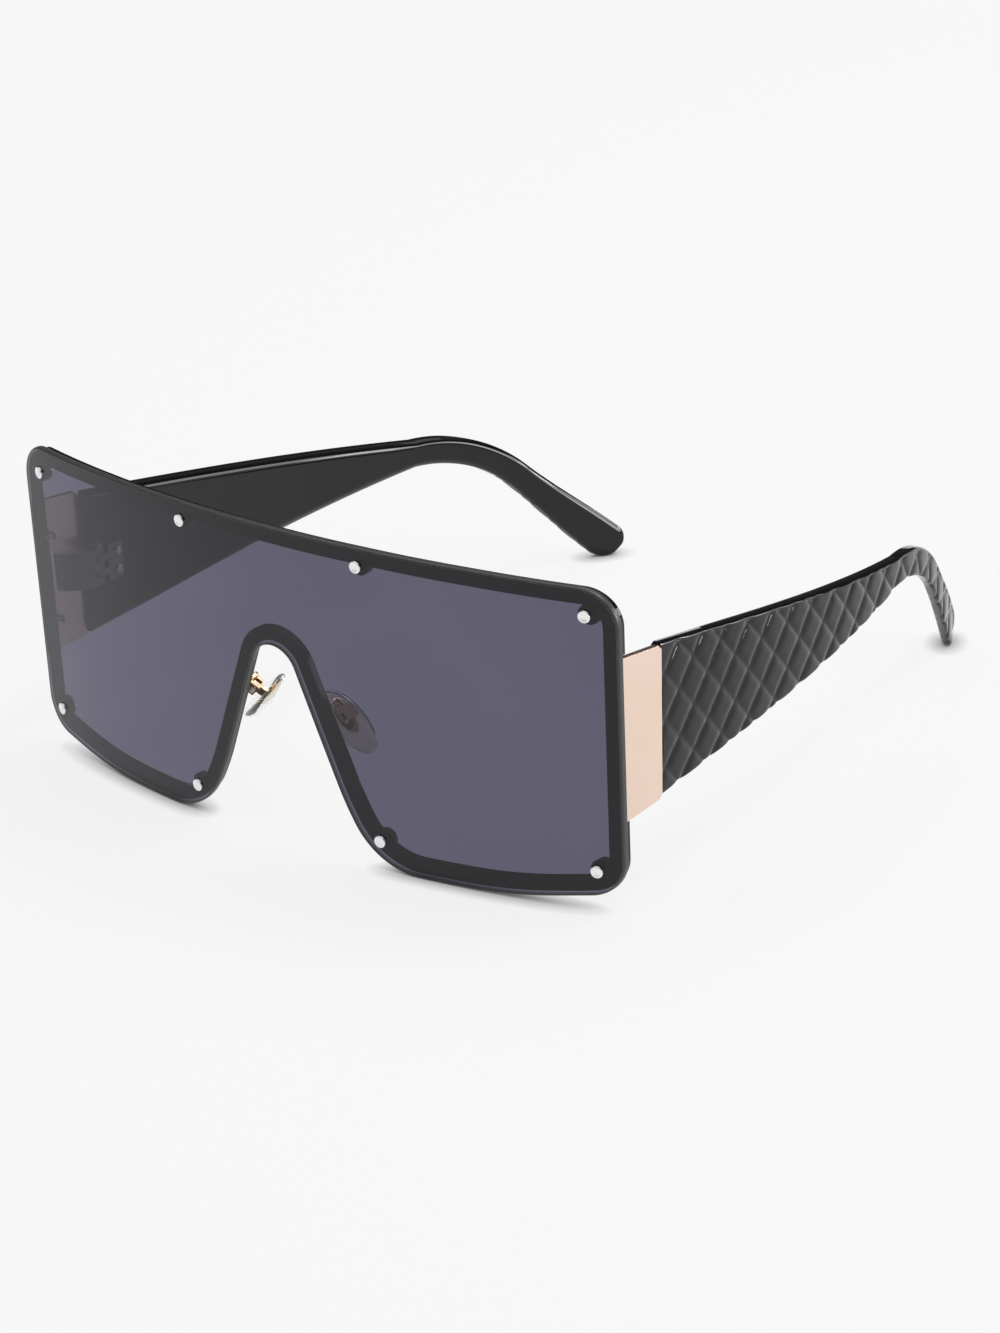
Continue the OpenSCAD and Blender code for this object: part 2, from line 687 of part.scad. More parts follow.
module nose_pad(left) {
    color([0.85, 0.86, 0.88, 0.5]) centred() on_side(left) at_pad() difference() {
        intersection() {
            oval_plate(pad_len, pad_w, pad_back_t - pad_t, pad_back_t);
            translate([pad_back_t - pad_t + pad_dome_r, 0, 0]) sphere(r = pad_dome_r, $fn = 200);
        }
        holder_shape(fit_gap);
    }
}

module pad_holder(left) {
    color([0.86, 0.75, 0.62]) centred() on_side(left) at_pad() difference() {
        union() {
            holder_shape(0);
            translate([pad_pivot_back, -lug_t / 2, mount_up])
                rotate([-90, 0, 0]) cylinder(r = lug_r, h = lug_t);
        }
        translate([pad_pivot_back, 0, mount_up])
            along_y(pad_screw_r + fit_gap, -cut, cut);
    }
}

module pad_box(left) {
    half_w = lug_t / 2 + side_gap + box_wall;
    color([0.86, 0.75, 0.62]) centred() on_side(left) at_pad()
        translate([pad_pivot_back, 0, mount_up]) difference() {
            translate([-box_front, -half_w, -box_h / 2])
                cube([box_front + box_back, 2 * half_w, box_h]);
            translate([-box_front - cut, -lug_t / 2 - side_gap, -box_h / 2 - cut])
                cube([box_front + cut + lug_r + side_gap, lug_t + 2 * side_gap, box_h + 2 * cut]);
            along_y(pad_screw_r + fit_gap, -cut, cut);
        }
}

module pad_screw(left) {
    half_w = lug_t / 2 + side_gap + box_wall;
    color([0.9, 0.82, 0.72]) centred() on_side(left) at_pad()
        translate([pad_pivot_back, 0, mount_up]) difference() {
            union() {
                along_y(pad_screw_r, -half_w, half_w + fit_gap);
                along_y(pad_screw_head_r, -half_w - pad_screw_head_t - fit_gap, -half_w - fit_gap);
                along_y(pad_screw_r, -half_w - pad_screw_head_t, -half_w + fit_gap);
            }
            translate([-cut, -half_w - pad_screw_head_t - fit_gap - cut, -slot_w / 2])
                cube([2 * cut, cut + slot_depth / 2, slot_w]);
        }
}

// Wire of the pad arm: a curve from its foot on the rim to the top of the box
box_top = [pad_pivot_back + box_back - box_wall, 0, mount_up + box_h / 2 - fit_gap];
wire_start = on_lens(arm_foot_x, arm_foot_h, rim_back + arm_foot_t / 2);
wire_end = from_pad(box_top);
wire_in = (wire_end - from_pad(box_top + [0, 0, arm_reach]));
wire_out = on_lens(arm_foot_x, arm_foot_h, rim_back + arm_foot_t / 2 + arm_reach) - wire_start;
function bezier(t) =
    let (a = wire_start, b = wire_start + wire_out, c = wire_end - wire_in, d = wire_end, u = 1 - t)
    a * pow(u, 3) + 3 * b * pow(u, 2) * t + 3 * c * u * pow(t, 2) + d * pow(t, 3);
function bezier_heading(t) =
    let (h = bezier(min(1, t + 1 / wire_rings)) - bezier(max(0, t - 1 / wire_rings))) h / norm(h);
function wire_ring(t) =
    let (h = bezier_heading(t), e = cross(h, [0, 0, 1]), f = e / norm(e), g = cross(h, f))
    [for (k = [0:wire_sides - 1])
        let (a = 360 * k / wire_sides)
        bezier(t) + wire_r * (f * cos(a) + g * sin(a))];

module wire() {
    n = wire_sides;
    points = [for (i = [0:wire_rings]) each wire_ring(i / wire_rings)];
    walls = [for (i = [0:wire_rings - 1], j = [0:n - 1])
                let (k = (j + 1) % n)
                each [[i * n + j, (i + 1) * n + j, (i + 1) * n + k],
                      [i * n + j, (i + 1) * n + k, i * n + k]]];
    polyhedron(points, concat(walls, [[for (j = [0:n - 1]) j]],
                              [[for (j = [n - 1:-1:0]) wire_rings * n + j]]));
}

module pad_arm(left) {
    color([0.86, 0.75, 0.62]) centred() on_side(left) {
        wire();
        leaning() at_lens([arm_foot_x, arm_foot_h]) {
            along_y(arm_foot_r, rim_back + fit_gap, rim_back + fit_gap + arm_foot_t);
            along_y(arm_pin_r, rim_back - arm_pin_len, rim_back + arm_foot_t);
        }
    }
}

shield_lens();
rim_frame();
lens_rivets();
end_plate(true);  // end_plate_left
end_plate(false);  // end_plate_right
end_plate_screws();
front_hinge(true);  // front_hinge_left
front_hinge(false);  // front_hinge_right
hinge_screw(true);  // hinge_screw_left
hinge_screw(false);  // hinge_screw_right
temple(true);  // temple_left
temple(false);  // temple_right
temple_hinge(true);  // temple_hinge_left
temple_hinge(false);  // temple_hinge_right
temple_screws(true);  // temple_screws_left
temple_screws(false);  // temple_screws_right
pad_arm(true);  // pad_arm_left
pad_arm(false);  // pad_arm_right
pad_box(true);  // pad_box_left
pad_box(false);  // pad_box_right
pad_screw(true);  // pad_screw_left
pad_screw(false);  // pad_screw_right
pad_holder(true);  // pad_holder_left
pad_holder(false);  // pad_holder_right
nose_pad(true);  // nose_pad_left
nose_pad(false);  // nose_pad_right
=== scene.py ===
# %% [markdown]
# # Oversized shield sunglasses
# One bent, tinted lens is riveted to a black rim. Pale gold end plates carry the hinges of two
# quilted black temples, and two clear pads rock on gold wires behind the nose notch.
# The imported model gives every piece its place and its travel. Each step below dresses one piece
# with finer edges and surfaces, and the piece stays exactly where that model has it.

import json
import math

import bmesh
import bpy
from mathutils import Matrix, Vector

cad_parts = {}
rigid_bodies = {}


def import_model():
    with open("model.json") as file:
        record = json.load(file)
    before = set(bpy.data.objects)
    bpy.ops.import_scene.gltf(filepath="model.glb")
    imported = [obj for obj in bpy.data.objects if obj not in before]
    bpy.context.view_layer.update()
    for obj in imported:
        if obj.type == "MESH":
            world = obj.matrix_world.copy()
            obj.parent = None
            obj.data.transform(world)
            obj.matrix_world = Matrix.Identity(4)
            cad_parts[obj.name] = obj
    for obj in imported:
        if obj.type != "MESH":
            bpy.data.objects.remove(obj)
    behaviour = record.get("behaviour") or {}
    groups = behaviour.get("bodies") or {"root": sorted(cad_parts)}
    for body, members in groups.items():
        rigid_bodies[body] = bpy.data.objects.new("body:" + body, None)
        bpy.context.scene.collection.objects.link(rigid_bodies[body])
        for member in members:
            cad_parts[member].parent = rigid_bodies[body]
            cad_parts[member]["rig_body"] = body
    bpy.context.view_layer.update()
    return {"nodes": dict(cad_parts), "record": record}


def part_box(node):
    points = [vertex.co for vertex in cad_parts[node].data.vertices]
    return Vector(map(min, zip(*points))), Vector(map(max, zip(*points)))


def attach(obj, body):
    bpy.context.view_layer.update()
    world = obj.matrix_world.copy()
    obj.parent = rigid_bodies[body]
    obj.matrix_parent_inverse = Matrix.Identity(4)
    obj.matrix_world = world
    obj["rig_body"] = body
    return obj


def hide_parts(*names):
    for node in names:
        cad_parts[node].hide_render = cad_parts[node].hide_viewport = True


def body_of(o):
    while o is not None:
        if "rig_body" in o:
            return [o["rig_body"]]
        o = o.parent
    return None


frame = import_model()
MM = 0.001


# %% [markdown]
# ## Finishes
# A finish is a shader with small, real irregularities: moulded plastic is never optically flat,
# plated metal is never evenly bright, and a clear pad is a little cloudy. Each finish below starts
# from the same shader and adds its own noise. What is the same all over a surface, such as how
# strongly it refracts, is set on the shader itself; what varies comes from nodes that read the
# object's own coordinates, so that a pattern stays put when the piece moves.

# %% A finish's shader and its small irregularities
FINISHES = {}
NOISE_LOW, NOISE_HIGH = 0.3, 0.7


class Finish:
    """A material whose colour, roughness and surface can each follow a noise."""

    def __init__(self, slot, colour, roughness, **constants):
        self.material = bpy.data.materials.new(slot)
        self.material.use_nodes = True
        self.tree = self.material.node_tree
        self.shader = self.tree.nodes["Principled BSDF"]
        self.shader.inputs["Base Color"].default_value = (*colour, 1)
        self.shader.inputs["Roughness"].default_value = roughness
        for socket, value in constants.items():
            self.shader.inputs[socket.replace("_", " ")].default_value = value
        self.place = self.tree.nodes.new("ShaderNodeTexCoord").outputs["Object"]
        FINISHES[slot] = self.material

    def noise(self, size, detail=3):
        noise = self.tree.nodes.new("ShaderNodeTexNoise")
        noise.inputs["Scale"].default_value = 1 / size
        noise.inputs["Detail"].default_value = detail
        self.tree.links.new(self.place, noise.inputs["Vector"])
        return noise.outputs["Fac"]

    def vary_colour(self, value, one, other):
        ramp = self.tree.nodes.new("ShaderNodeValToRGB")
        ramp.color_ramp.elements[0].position = NOISE_LOW
        ramp.color_ramp.elements[0].color = (*one, 1)
        ramp.color_ramp.elements[1].position = NOISE_HIGH
        ramp.color_ramp.elements[1].color = (*other, 1)
        self.tree.links.new(value, ramp.inputs["Fac"])
        self.tree.links.new(ramp.outputs["Color"], self.shader.inputs["Base Color"])

    def vary_roughness(self, value, low, high):
        spread = self.tree.nodes.new("ShaderNodeMapRange")
        spread.inputs["From Min"].default_value = NOISE_LOW
        spread.inputs["From Max"].default_value = NOISE_HIGH
        spread.inputs["To Min"].default_value = low
        spread.inputs["To Max"].default_value = high
        self.tree.links.new(value, spread.inputs["Value"])
        self.tree.links.new(spread.outputs["Result"], self.shader.inputs["Roughness"])

    def bump(self, height, depth):
        bump = self.tree.nodes.new("ShaderNodeBump")
        bump.inputs["Strength"].default_value = 1
        bump.inputs["Distance"].default_value = depth
        self.tree.links.new(height, bump.inputs["Height"])
        self.tree.links.new(bump.outputs["Normal"], self.shader.inputs["Normal"])


print("most of a noise lies between", NOISE_LOW, "and", NOISE_HIGH)

# %% [markdown]
# The lens is polycarbonate dyed a smoky blue grey. On a closed solid the shader tints light once
# on its way in and once on its way out, so the colour written here is what white looks like
# through the lens. The dye settles a little unevenly, which a very broad noise gives.

# %% Tinted lens
TINT_THIN = (0.105, 0.101, 0.154)
TINT_DEEP = (0.096, 0.091, 0.143)
TINT_PATCH = 40 * MM
LENS_IOR = 1.41
lens_finish = Finish("lens_tint", TINT_THIN, roughness=0.0, Transmission_Weight=1.0, IOR=LENS_IOR)
lens_finish.vary_colour(lens_finish.noise(TINT_PATCH, detail=1), TINT_THIN, TINT_DEEP)
print("lens tint", TINT_THIN, "to", TINT_DEEP)

# %% [markdown]
# The lens's cut edge is ground and only half polished: greyer, rougher and less clear than its
# faces. It is one piece with them, so a second material would be a second piece to look after.
# Instead the mesh marks the ground faces with a number of their own, which the shader reads.

# %% Ground edge
GROUND = "ground_edge"
EDGE_GREY = (0.085, 0.085, 0.083)
EDGE_ROUGH = 0.32
EDGE_CLEAR = 0.45


def differ_where_marked(finish, mark, colour, roughness, clearness):
    """Another colour, roughness and clearness on the faces that carry a mark."""
    nodes, links = finish.tree.nodes, finish.tree.links
    marked = nodes.new("ShaderNodeAttribute")
    marked.attribute_name = mark
    base = finish.shader.inputs["Base Color"]
    blend = nodes.new("ShaderNodeMix")
    blend.data_type = "RGBA"
    plain, other = [socket for socket in blend.inputs if socket.type == "RGBA"]
    blended = [socket for socket in blend.outputs if socket.type == "RGBA"][0]
    other.default_value = (*colour, 1)
    links.new(base.links[0].from_socket, plain)
    links.new(marked.outputs["Fac"], blend.inputs["Factor"])
    links.new(blended, base)
    for name, value in (("Roughness", roughness), ("Transmission Weight", clearness)):
        socket = finish.shader.inputs[name]
        change = nodes.new("ShaderNodeMapRange")
        change.inputs["To Min"].default_value = socket.default_value
        change.inputs["To Max"].default_value = value
        links.new(marked.outputs["Fac"], change.inputs["Value"])
        links.new(change.outputs["Result"], socket)


differ_where_marked(lens_finish, GROUND, EDGE_GREY, EDGE_ROUGH, EDGE_CLEAR)
print("ground edge", EDGE_GREY, "roughness", EDGE_ROUGH)

# %% [markdown]
# Rim and temples are injection moulded and polished: a deep black under a clear gloss. The mould
# leaves a faint orange peel, and handling leaves slightly duller patches. The temples' plastic
# refracts a little less than the rim's, so their broad faces stay darker.

# %% Gloss blacks
BLACK = (0.0025, 0.0025, 0.0028)
SOFT_BLACK = (0.0045, 0.0045, 0.005)
BLACK_PATCH = 18 * MM
HANDLED_PATCH = 6 * MM
HANDLED_SHARES = (0.8, 1.6)
PEEL = 1.6 * MM
PEEL_DEPTH = 0.003 * MM
for slot, rough, ior in (("rim_black", 0.07, 1.48), ("temple_black", 0.04, 1.42)):
    gloss = Finish(slot, BLACK, rough, IOR=ior)
    gloss.vary_colour(gloss.noise(BLACK_PATCH), BLACK, SOFT_BLACK)
    gloss.vary_roughness(gloss.noise(HANDLED_PATCH), *[rough * share for share in HANDLED_SHARES])
    gloss.bump(gloss.noise(PEEL, detail=2), PEEL_DEPTH)
    print(slot, "roughness", rough, "refracts", ior)

# %% [markdown]
# Two golds differ in how they were worked. The end plates are satin polished and plated pale gold,
# which leaves a very even sheen with a trace of fine grain. The wires, boxes and holders of the
# pads are drawn and bright, and so small that their colour changes over a few millimetres.

# %% Golds
GOLD = (0.87, 0.68, 0.57)
GOLD_DEEP = (0.83, 0.65, 0.53)
GOLD_PATCH = 14 * MM
SATIN = (0.22, 0.27)
SATIN_PATCH = 0.5 * MM
GOLD_GRAIN = 0.3 * MM
GOLD_GRAIN_DEPTH = 0.0003 * MM
plate = Finish("plate_gold", GOLD, SATIN[0], Metallic=1.0)
plate.vary_colour(plate.noise(GOLD_PATCH, detail=1), GOLD, GOLD_DEEP)
plate.vary_roughness(plate.noise(SATIN_PATCH), *SATIN)
plate.bump(plate.noise(GOLD_GRAIN, detail=2), GOLD_GRAIN_DEPTH)

WIRE = (0.82, 0.61, 0.42)
WIRE_DEEP = (0.72, 0.50, 0.33)
WIRE_PATCH = 2.5 * MM
DRAWN = (0.05, 0.12)
DRAWN_PATCH = 0.7 * MM
wire_finish = Finish("wire_gold", WIRE, DRAWN[0], Metallic=1.0)
wire_finish.vary_colour(wire_finish.noise(WIRE_PATCH), WIRE, WIRE_DEEP)
wire_finish.vary_roughness(wire_finish.noise(DRAWN_PATCH), *DRAWN)
print("gold plates", GOLD, "gold wires", WIRE)

# %% [markdown]
# The rivet heads are turned and tumbled, so they sparkle a little: one grain drives their colour,
# their roughness and their surface. Screws are plain satin steel, and the hinges a darker one.

# %% Silver and steels
SILVER = (0.96, 0.96, 0.95)
SILVER_DEEP = (0.78, 0.78, 0.78)
TUMBLED = (0.2, 0.4)
TUMBLED_GRAIN = 0.35 * MM
TUMBLED_DEPTH = 0.012 * MM
rivet_finish = Finish("rivet_silver", SILVER, TUMBLED[0], Metallic=1.0)
grain = rivet_finish.noise(TUMBLED_GRAIN)
rivet_finish.vary_colour(grain, SILVER_DEEP, SILVER)
rivet_finish.vary_roughness(grain, *TUMBLED)
rivet_finish.bump(grain, TUMBLED_DEPTH)

STEEL = (1, 0.97, 0.93)
STEEL_DEEP = (1, 0.96, 0.92)
STEEL_PATCH = 1.5 * MM
STEEL_ROUGH = (0.24, 0.42)
STEEL_ROUGH_PATCH = 0.4 * MM
STEEL_GRAIN = 0.25 * MM
STEEL_GRAIN_DEPTH = 0.003 * MM
for slot, bright, dull in (("screw_steel", 0.62, 0.48), ("hinge_steel", 0.24, 0.15)):
    light = [bright * part for part in STEEL]
    dark = [dull * part for part in STEEL_DEEP]
    steel = Finish(slot, light, STEEL_ROUGH[0], Metallic=1.0)
    steel.vary_colour(steel.noise(STEEL_PATCH), light, dark)
    steel.vary_roughness(steel.noise(STEEL_ROUGH_PATCH), *STEEL_ROUGH)
    steel.bump(steel.noise(STEEL_GRAIN, detail=2), STEEL_GRAIN_DEPTH)
    print(slot, "reflects", bright, "to", dull)

# %% [markdown]
# The nose pads are clear silicone with the warm, faintly milky cast that it takes on with age.
# They refract a little more than water, and a small share of the light scatters at once.

# %% Clear pad
PAD_CLEAR = (0.95, 0.90, 0.81)
PAD_CLOUD = (0.90, 0.84, 0.73)
PAD_PATCH = 3 * MM
PAD_CLEARNESS = 0.84
PAD_IOR = 1.41
PAD_ROUGH = (0.08, 0.16)
PAD_ROUGH_PATCH = 1.2 * MM
pad_finish = Finish("pad_clear", PAD_CLEAR, PAD_ROUGH[0], Transmission_Weight=PAD_CLEARNESS,
                    IOR=PAD_IOR)
pad_finish.vary_colour(pad_finish.noise(PAD_PATCH), PAD_CLEAR, PAD_CLOUD)
pad_finish.vary_roughness(pad_finish.noise(PAD_ROUGH_PATCH), *PAD_ROUGH)
print("finishes", sorted(FINISHES))


# %% [markdown]
# ## How a piece joins the model
# A finished mesh keeps its place in its own vertices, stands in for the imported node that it
# dresses, and rides on the same body, so it follows every joint. Weighted normals let the large
# faces decide how light falls, so that a flat face doesn't look bent beside its rounded edge.
# A closed solid has two faces at every edge, so the count of other edges should be zero.

# %% Handing over a finished piece
SLOTS = {part["node"]: part["material_slot"] for part in frame["record"]["subparts"]}
SMOOTH = math.radians(40)
FACE_WEIGHT = 90


def open_edges(mesh):
    """How many edges don't lie between exactly two faces."""
    count = {}
    for face in mesh.polygons:
        for edge in face.edge_keys:
            count[edge] = count.get(edge, 0) + 1
    return sum(1 for faces in count.values() if faces != 2)


def piece(bm, node, smooth=SMOOTH):
    mesh = bpy.data.meshes.new(node + "_shape")
    bm.to_mesh(mesh)
    bm.free()
    shape = bpy.data.objects.new(node + "_shape", mesh)
    bpy.context.scene.collection.objects.link(shape)
    mesh.materials.append(FINISHES[SLOTS[node]])
    mesh.shade_smooth()
    mesh.set_sharp_from_angle(angle=smooth)
    weighted = shape.modifiers.new("weighted normals", "WEIGHTED_NORMAL")
    weighted.weight = FACE_WEIGHT
    weighted.keep_sharp = True
    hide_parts(node)
    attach(shape, body_of(frame["nodes"][node])[0])
    print(node, "faces", len(mesh.polygons), "open edges", open_edges(mesh))


print("nodes to dress", len(SLOTS))

# %% [markdown]
# ## The lens's outline
# The lens is cut flat and then bent. Its outline is a chain of corners, each with its own radius:
# a long arc for the brow, two round upper corners, two lower ones, the lobes beside the nose and
# the notch between them. Places are distances across (x) and up (h) on the flat lens.

# %% Sizes of the outline
LENS_W = 150 * MM
LENS_LOW_W = 147.8 * MM
SIDE_H = 64.7 * MM
BROW_RISE = 2.45 * MM
CORNER_TOP_R = 7.9 * MM
CORNER_LOW_R = 7.6 * MM
LOW_CORNER_H = 4 * MM
LOBE_END = (51.1 * MM, 0.36 * MM)
LOBE_R = 120 * MM
NOTCH_FOOT = (22.2 * MM, 0)
NOTCH_FOOT_R = 16.35 * MM
NOTCH_BEND = (15.4 * MM, 12.45 * MM)
NOTCH_BEND_R = 60 * MM
NOTCH_PEAK_H = 51.15 * MM
NOTCH_TOP_R = 5.66 * MM
print("lens mm", round(LENS_W / MM, 1), "x", round((SIDE_H + BROW_RISE) / MM, 1))


# %% [markdown]
# The chain runs clockwise from the middle of the brow, so the lens always lies on the right of
# each side. At every corner one vector, the mitre, leads inwards to where both neighbouring sides
# have moved in by one unit. It places both the centre of a corner's arc and a smaller outline.
# The brow's radius is chosen so that its arc runs right into the arcs of the upper corners.

# %% Corners of the outline


def flat(x, h):
    return Vector((x, 0, h))


def arriving(corners, i):
    return (corners[i][0] - corners[i - 1][0]).normalized()


def leaving(corners, i):
    return (corners[(i + 1) % len(corners)][0] - corners[i][0]).normalized()


def inward(direction):
    return Vector((direction.z, 0, -direction.x))


def mitre(corners, i):
    a, b = inward(arriving(corners, i)), inward(leaving(corners, i))
    return (a + b) / (1 + a.dot(b))


def bends_in(corners, i):
    return 1 if arriving(corners, i).cross(leaving(corners, i)).y > 0 else -1


def brow_radius():
    peak, side = flat(0, SIDE_H + BROW_RISE), flat(LENS_W / 2, SIDE_H)
    low = flat(LENS_LOW_W / 2, LOW_CORNER_H)
    angle = (side - peak).angle(low - side)
    return ((side - peak).length - CORNER_TOP_R * math.tan(angle / 2)) / (BROW_RISE / (LENS_W / 2))


def lens_corners():
    half = [(flat(LENS_W / 2, SIDE_H), CORNER_TOP_R),
            (flat(LENS_LOW_W / 2, LOW_CORNER_H), CORNER_LOW_R),
            (flat(*LOBE_END), LOBE_R), (flat(*NOTCH_FOOT), NOTCH_FOOT_R),
            (flat(*NOTCH_BEND), NOTCH_BEND_R)]
    other = [(flat(-p.x, p.z), r) for p, r in reversed(half)]
    return [(flat(0, SIDE_H + BROW_RISE), brow_radius())] + half + \
        [(flat(0, NOTCH_PEAK_H), NOTCH_TOP_R)] + other


print("corners", len(lens_corners()), "brow radius mm", round(brow_radius() / MM))

# %% [markdown]
# Every corner becomes an arc that touches both of its sides. An outline that is moved inwards
# keeps the centres of its arcs, so the corners that stick out get smaller radii and the hollow
# ones larger. That keeps a band between two such outlines equally wide all the way round.

# %% Points of the outline
ARC_STEP = math.radians(5)
ARC_LEAST = 4


def outline(inset):
    """Points of the outline, moved in by inset, in clockwise order."""
    corners = lens_corners()
    points = []
    for i, (place, radius) in enumerate(corners):
        side = bends_in(corners, i)
        radius -= side * inset
        apex = place + inset * mitre(corners, i)
        centre = apex + side * radius * mitre(corners, i)
        start = -side * radius * inward(arriving(corners, i))
        turn = arriving(corners, i).angle(leaving(corners, i))
        count = 2 * math.ceil(turn / ARC_STEP) + ARC_LEAST
        for k in range(count + 1):
            spin = Matrix.Rotation(side * turn * k / count, 3, "Y")
            points.append(centre + spin @ start)
    return points


print("outline points", len(outline(0)))

# %% [markdown]
# ## Bending and leaning
# The lens's front face follows a wide cylinder round an upright axis. Every point of a flat sheet
# keeps its distance across and its height, and moves back onto that curve. Then the whole front
# leans by under two degrees. Depth counts backwards from the lens's front face. The seat moves it
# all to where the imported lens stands, so that the lowest and foremost points of both agree.

# %% Bend, lean and seat
LENS_R = 239.6 * MM
LENS_LEAN = math.radians(1.83)
LEAN = Matrix.Rotation(LENS_LEAN, 3, "X")


def bent(x, depth, h):
    return LEAN @ Vector((x, LENS_R - math.sqrt((LENS_R - depth) ** 2 - x ** 2), h))


def lowest(points):
    return Vector([min(p[axis] for p in points) for axis in range(3)])


lens_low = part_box("shield_lens")[0]
front_low = lowest([bent(p.x, 0, p.z) for p in outline(0)])
SEAT = Vector((0, lens_low.y - front_low.y, lens_low.z - front_low.z))


def on_front(x, depth, h):
    return bent(x, depth, h) + SEAT


def square_to_front(x, h, sideways, depth, upwards):
    """A point beside the spot (x, h) of the front face, in a frame square to the lens there."""
    turn = Matrix.Rotation(math.asin(x / LENS_R), 3, "Z")
    spot = Vector((x, LENS_R - math.sqrt(LENS_R ** 2 - x ** 2), h))
    return LEAN @ (spot + turn @ Vector((sideways, depth, upwards))) + SEAT


print("seat mm", [round(c / MM, 3) for c in SEAT])

# %% [markdown]
# A mesh can only bend where it has edges, so a flat sheet is first cut into narrow upright
# strips. Points that lie closer together than a small tolerance count as being in the same place.

# %% Strips that bend
STRIP = 2 * MM
SAME_PLACE = 0.0001 * MM


def cut_strips(bm):
    reach = LENS_W / 2
    for k in range(int(-reach / STRIP), int(reach / STRIP) + 1):
        bmesh.ops.bisect_plane(bm, geom=list(bm.verts) + list(bm.edges) + list(bm.faces),
                               plane_co=(k * STRIP, 0, 0), plane_no=(1, 0, 0), dist=SAME_PLACE)


def bend_all(bm):
    for v in bm.verts:
        v.co = on_front(v.co.x, v.co.y, v.co.z)


print("strips", round(LENS_W / STRIP))

# %% [markdown]
# A sheet gets its thickness by extruding its face. The edges round that face are known by the
# steep corner that they form with the walls, and a bevel rounds them with a few narrow faces.

# %% Thickness and rounded edges
STEEP = math.radians(45)


def sheet(bm, faces, front, back):
    """Gives flat faces a thickness, from a front depth to a back depth."""
    bmesh.ops.translate(bm, vec=(0, front, 0), verts=list({v for f in faces for v in f.verts}))
    grown = bmesh.ops.extrude_face_region(bm, geom=faces, use_keep_orig=True)["geom"]
    moved = [g for g in grown if isinstance(g, bmesh.types.BMVert)]
    bmesh.ops.translate(bm, vec=(0, back - front, 0), verts=moved)
    bmesh.ops.recalc_face_normals(bm, faces=bm.faces)


def border(bm, depth):
    """Edges where a sheet's face at this depth meets its walls."""
    return [e for e in bm.edges
            if all(abs(v.co.y - depth) < SAME_PLACE for v in e.verts)
            and len(e.link_faces) == 2 and e.calc_face_angle() > STEEP]


def round_edges(bm, edges, width, segments):
    bmesh.ops.bevel(bm, geom=edges, offset=width, offset_type="OFFSET", segments=segments,
                    profile=0.5, affect="EDGES", clamp_overlap=True, material=-1)


print("a corner is steep from degrees", round(math.degrees(STEEP)))

# %% [markdown]
# ## The lens
# The cut edge of a real lens is ground and then buffed, so a soft line of light runs all round
# it. A bevel of a few tenths of a millimetre on both edges catches that light. It is made while
# the sheet is flat, where a bevel is exact, and the strips come after it. Walls and bevels are
# then marked as ground.

# %% Lens
LENS_T = 1.5 * MM
LENS_BEVEL = 0.42 * MM
LENS_BEVEL_STEPS = 4
FACING_FRONT = 0.99


def lens_shape():
    bm = bmesh.new()
    face = bm.faces.new([bm.verts.new(p) for p in outline(0)])
    sheet(bm, [face], 0, LENS_T)
    round_edges(bm, border(bm, 0) + border(bm, LENS_T), LENS_BEVEL, LENS_BEVEL_STEPS)
    cut_strips(bm)
    mark = bm.faces.layers.float.new(GROUND)
    bm.normal_update()
    for face in bm.faces:
        face[mark] = float(abs(face.normal.y) < FACING_FRONT)
    bend_all(bm)
    return bm


piece(lens_shape(), "shield_lens")

# %% [markdown]
# ## The rim
# The rim is a narrow moulded band behind the lens that follows the lens's edge a little inside
# it. Eight rivets join the two. Each side has one in its upper and one in its lower outer corner,
# one in the brow and one beside the foot of the notch.

# %% Sizes of the rim
FIT_GAP = 0.05 * MM
RIM_T = 1.4 * MM
RIM_BAND = 3.6 * MM
RIM_INSET = 0.75 * MM
RIM_FRONT = LENS_T + FIT_GAP
RIM_BACK = RIM_FRONT + RIM_T
RIVETS = [flat(LENS_W / 2 - 6.2 * MM, SIDE_H - 5.2 * MM), flat(22.2 * MM, SIDE_H - 2.5 * MM),
          flat(LENS_LOW_W / 2 - 5.1 * MM, LOW_CORNER_H + 4.25 * MM), flat(23.5 * MM, 6.2 * MM)]
ALL_RIVETS = RIVETS + [flat(-p.x, p.z) for p in RIVETS]
print("rivets", len(ALL_RIVETS), "back of the rim at depth mm", round(RIM_BACK / MM, 2))


# %% [markdown]
# The rim's window is the outline moved inwards, with a round boss wherever a rivet passes. Where
# the window meets a boss, its points give way to an arc round the rivet. So the band and its
# bosses are one outline and need no boolean, which would leave ragged edges for the bevel.

# %% The window round the bosses
BOSS_R = 2.05 * MM
WINDOW_STEP = 0.4 * MM
BOSS_STEP = math.radians(12)
BOSS_LEAST = 3


def angle_at(centre, p):
    return math.atan2(p.z - centre.z, p.x - centre.x)


def round_boss(loop, centre, radius):
    """Replaces the stretch of a clockwise loop inside a circle by the circle's own arc."""
    inside = [(p - centre).length < radius for p in loop]
    if not any(inside):
        return loop
    first = next(i for i in range(len(loop)) if inside[i] and not inside[i - 1])
    loop = loop[first:] + loop[:first]
    inside = inside[first:] + inside[:first]
    count = inside.index(False)
    start, end = angle_at(centre, loop[0]), angle_at(centre, loop[count - 1])
    if end <= start:
        end += 2 * math.pi
    steps = max(BOSS_LEAST, math.ceil((end - start) / BOSS_STEP))
    arc = [centre + radius * Vector((math.cos(a), 0, math.sin(a)))
           for a in [start + (end - start) * k / steps for k in range(steps + 1)]]
    return arc + loop[count:]


def dense(loop, step):
    points = []
    for a, b in zip(loop, loop[1:] + loop[:1]):
        count = max(1, math.ceil((b - a).length / step))
        points += [a.lerp(b, k / count) for k in range(count)]
    return points


def window():
    loop = dense(outline(RIM_BAND), WINDOW_STEP)
    for rivet in ALL_RIVETS:
        loop = round_boss(loop, rivet, BOSS_R)
    return loop


print("window points", len(window()))


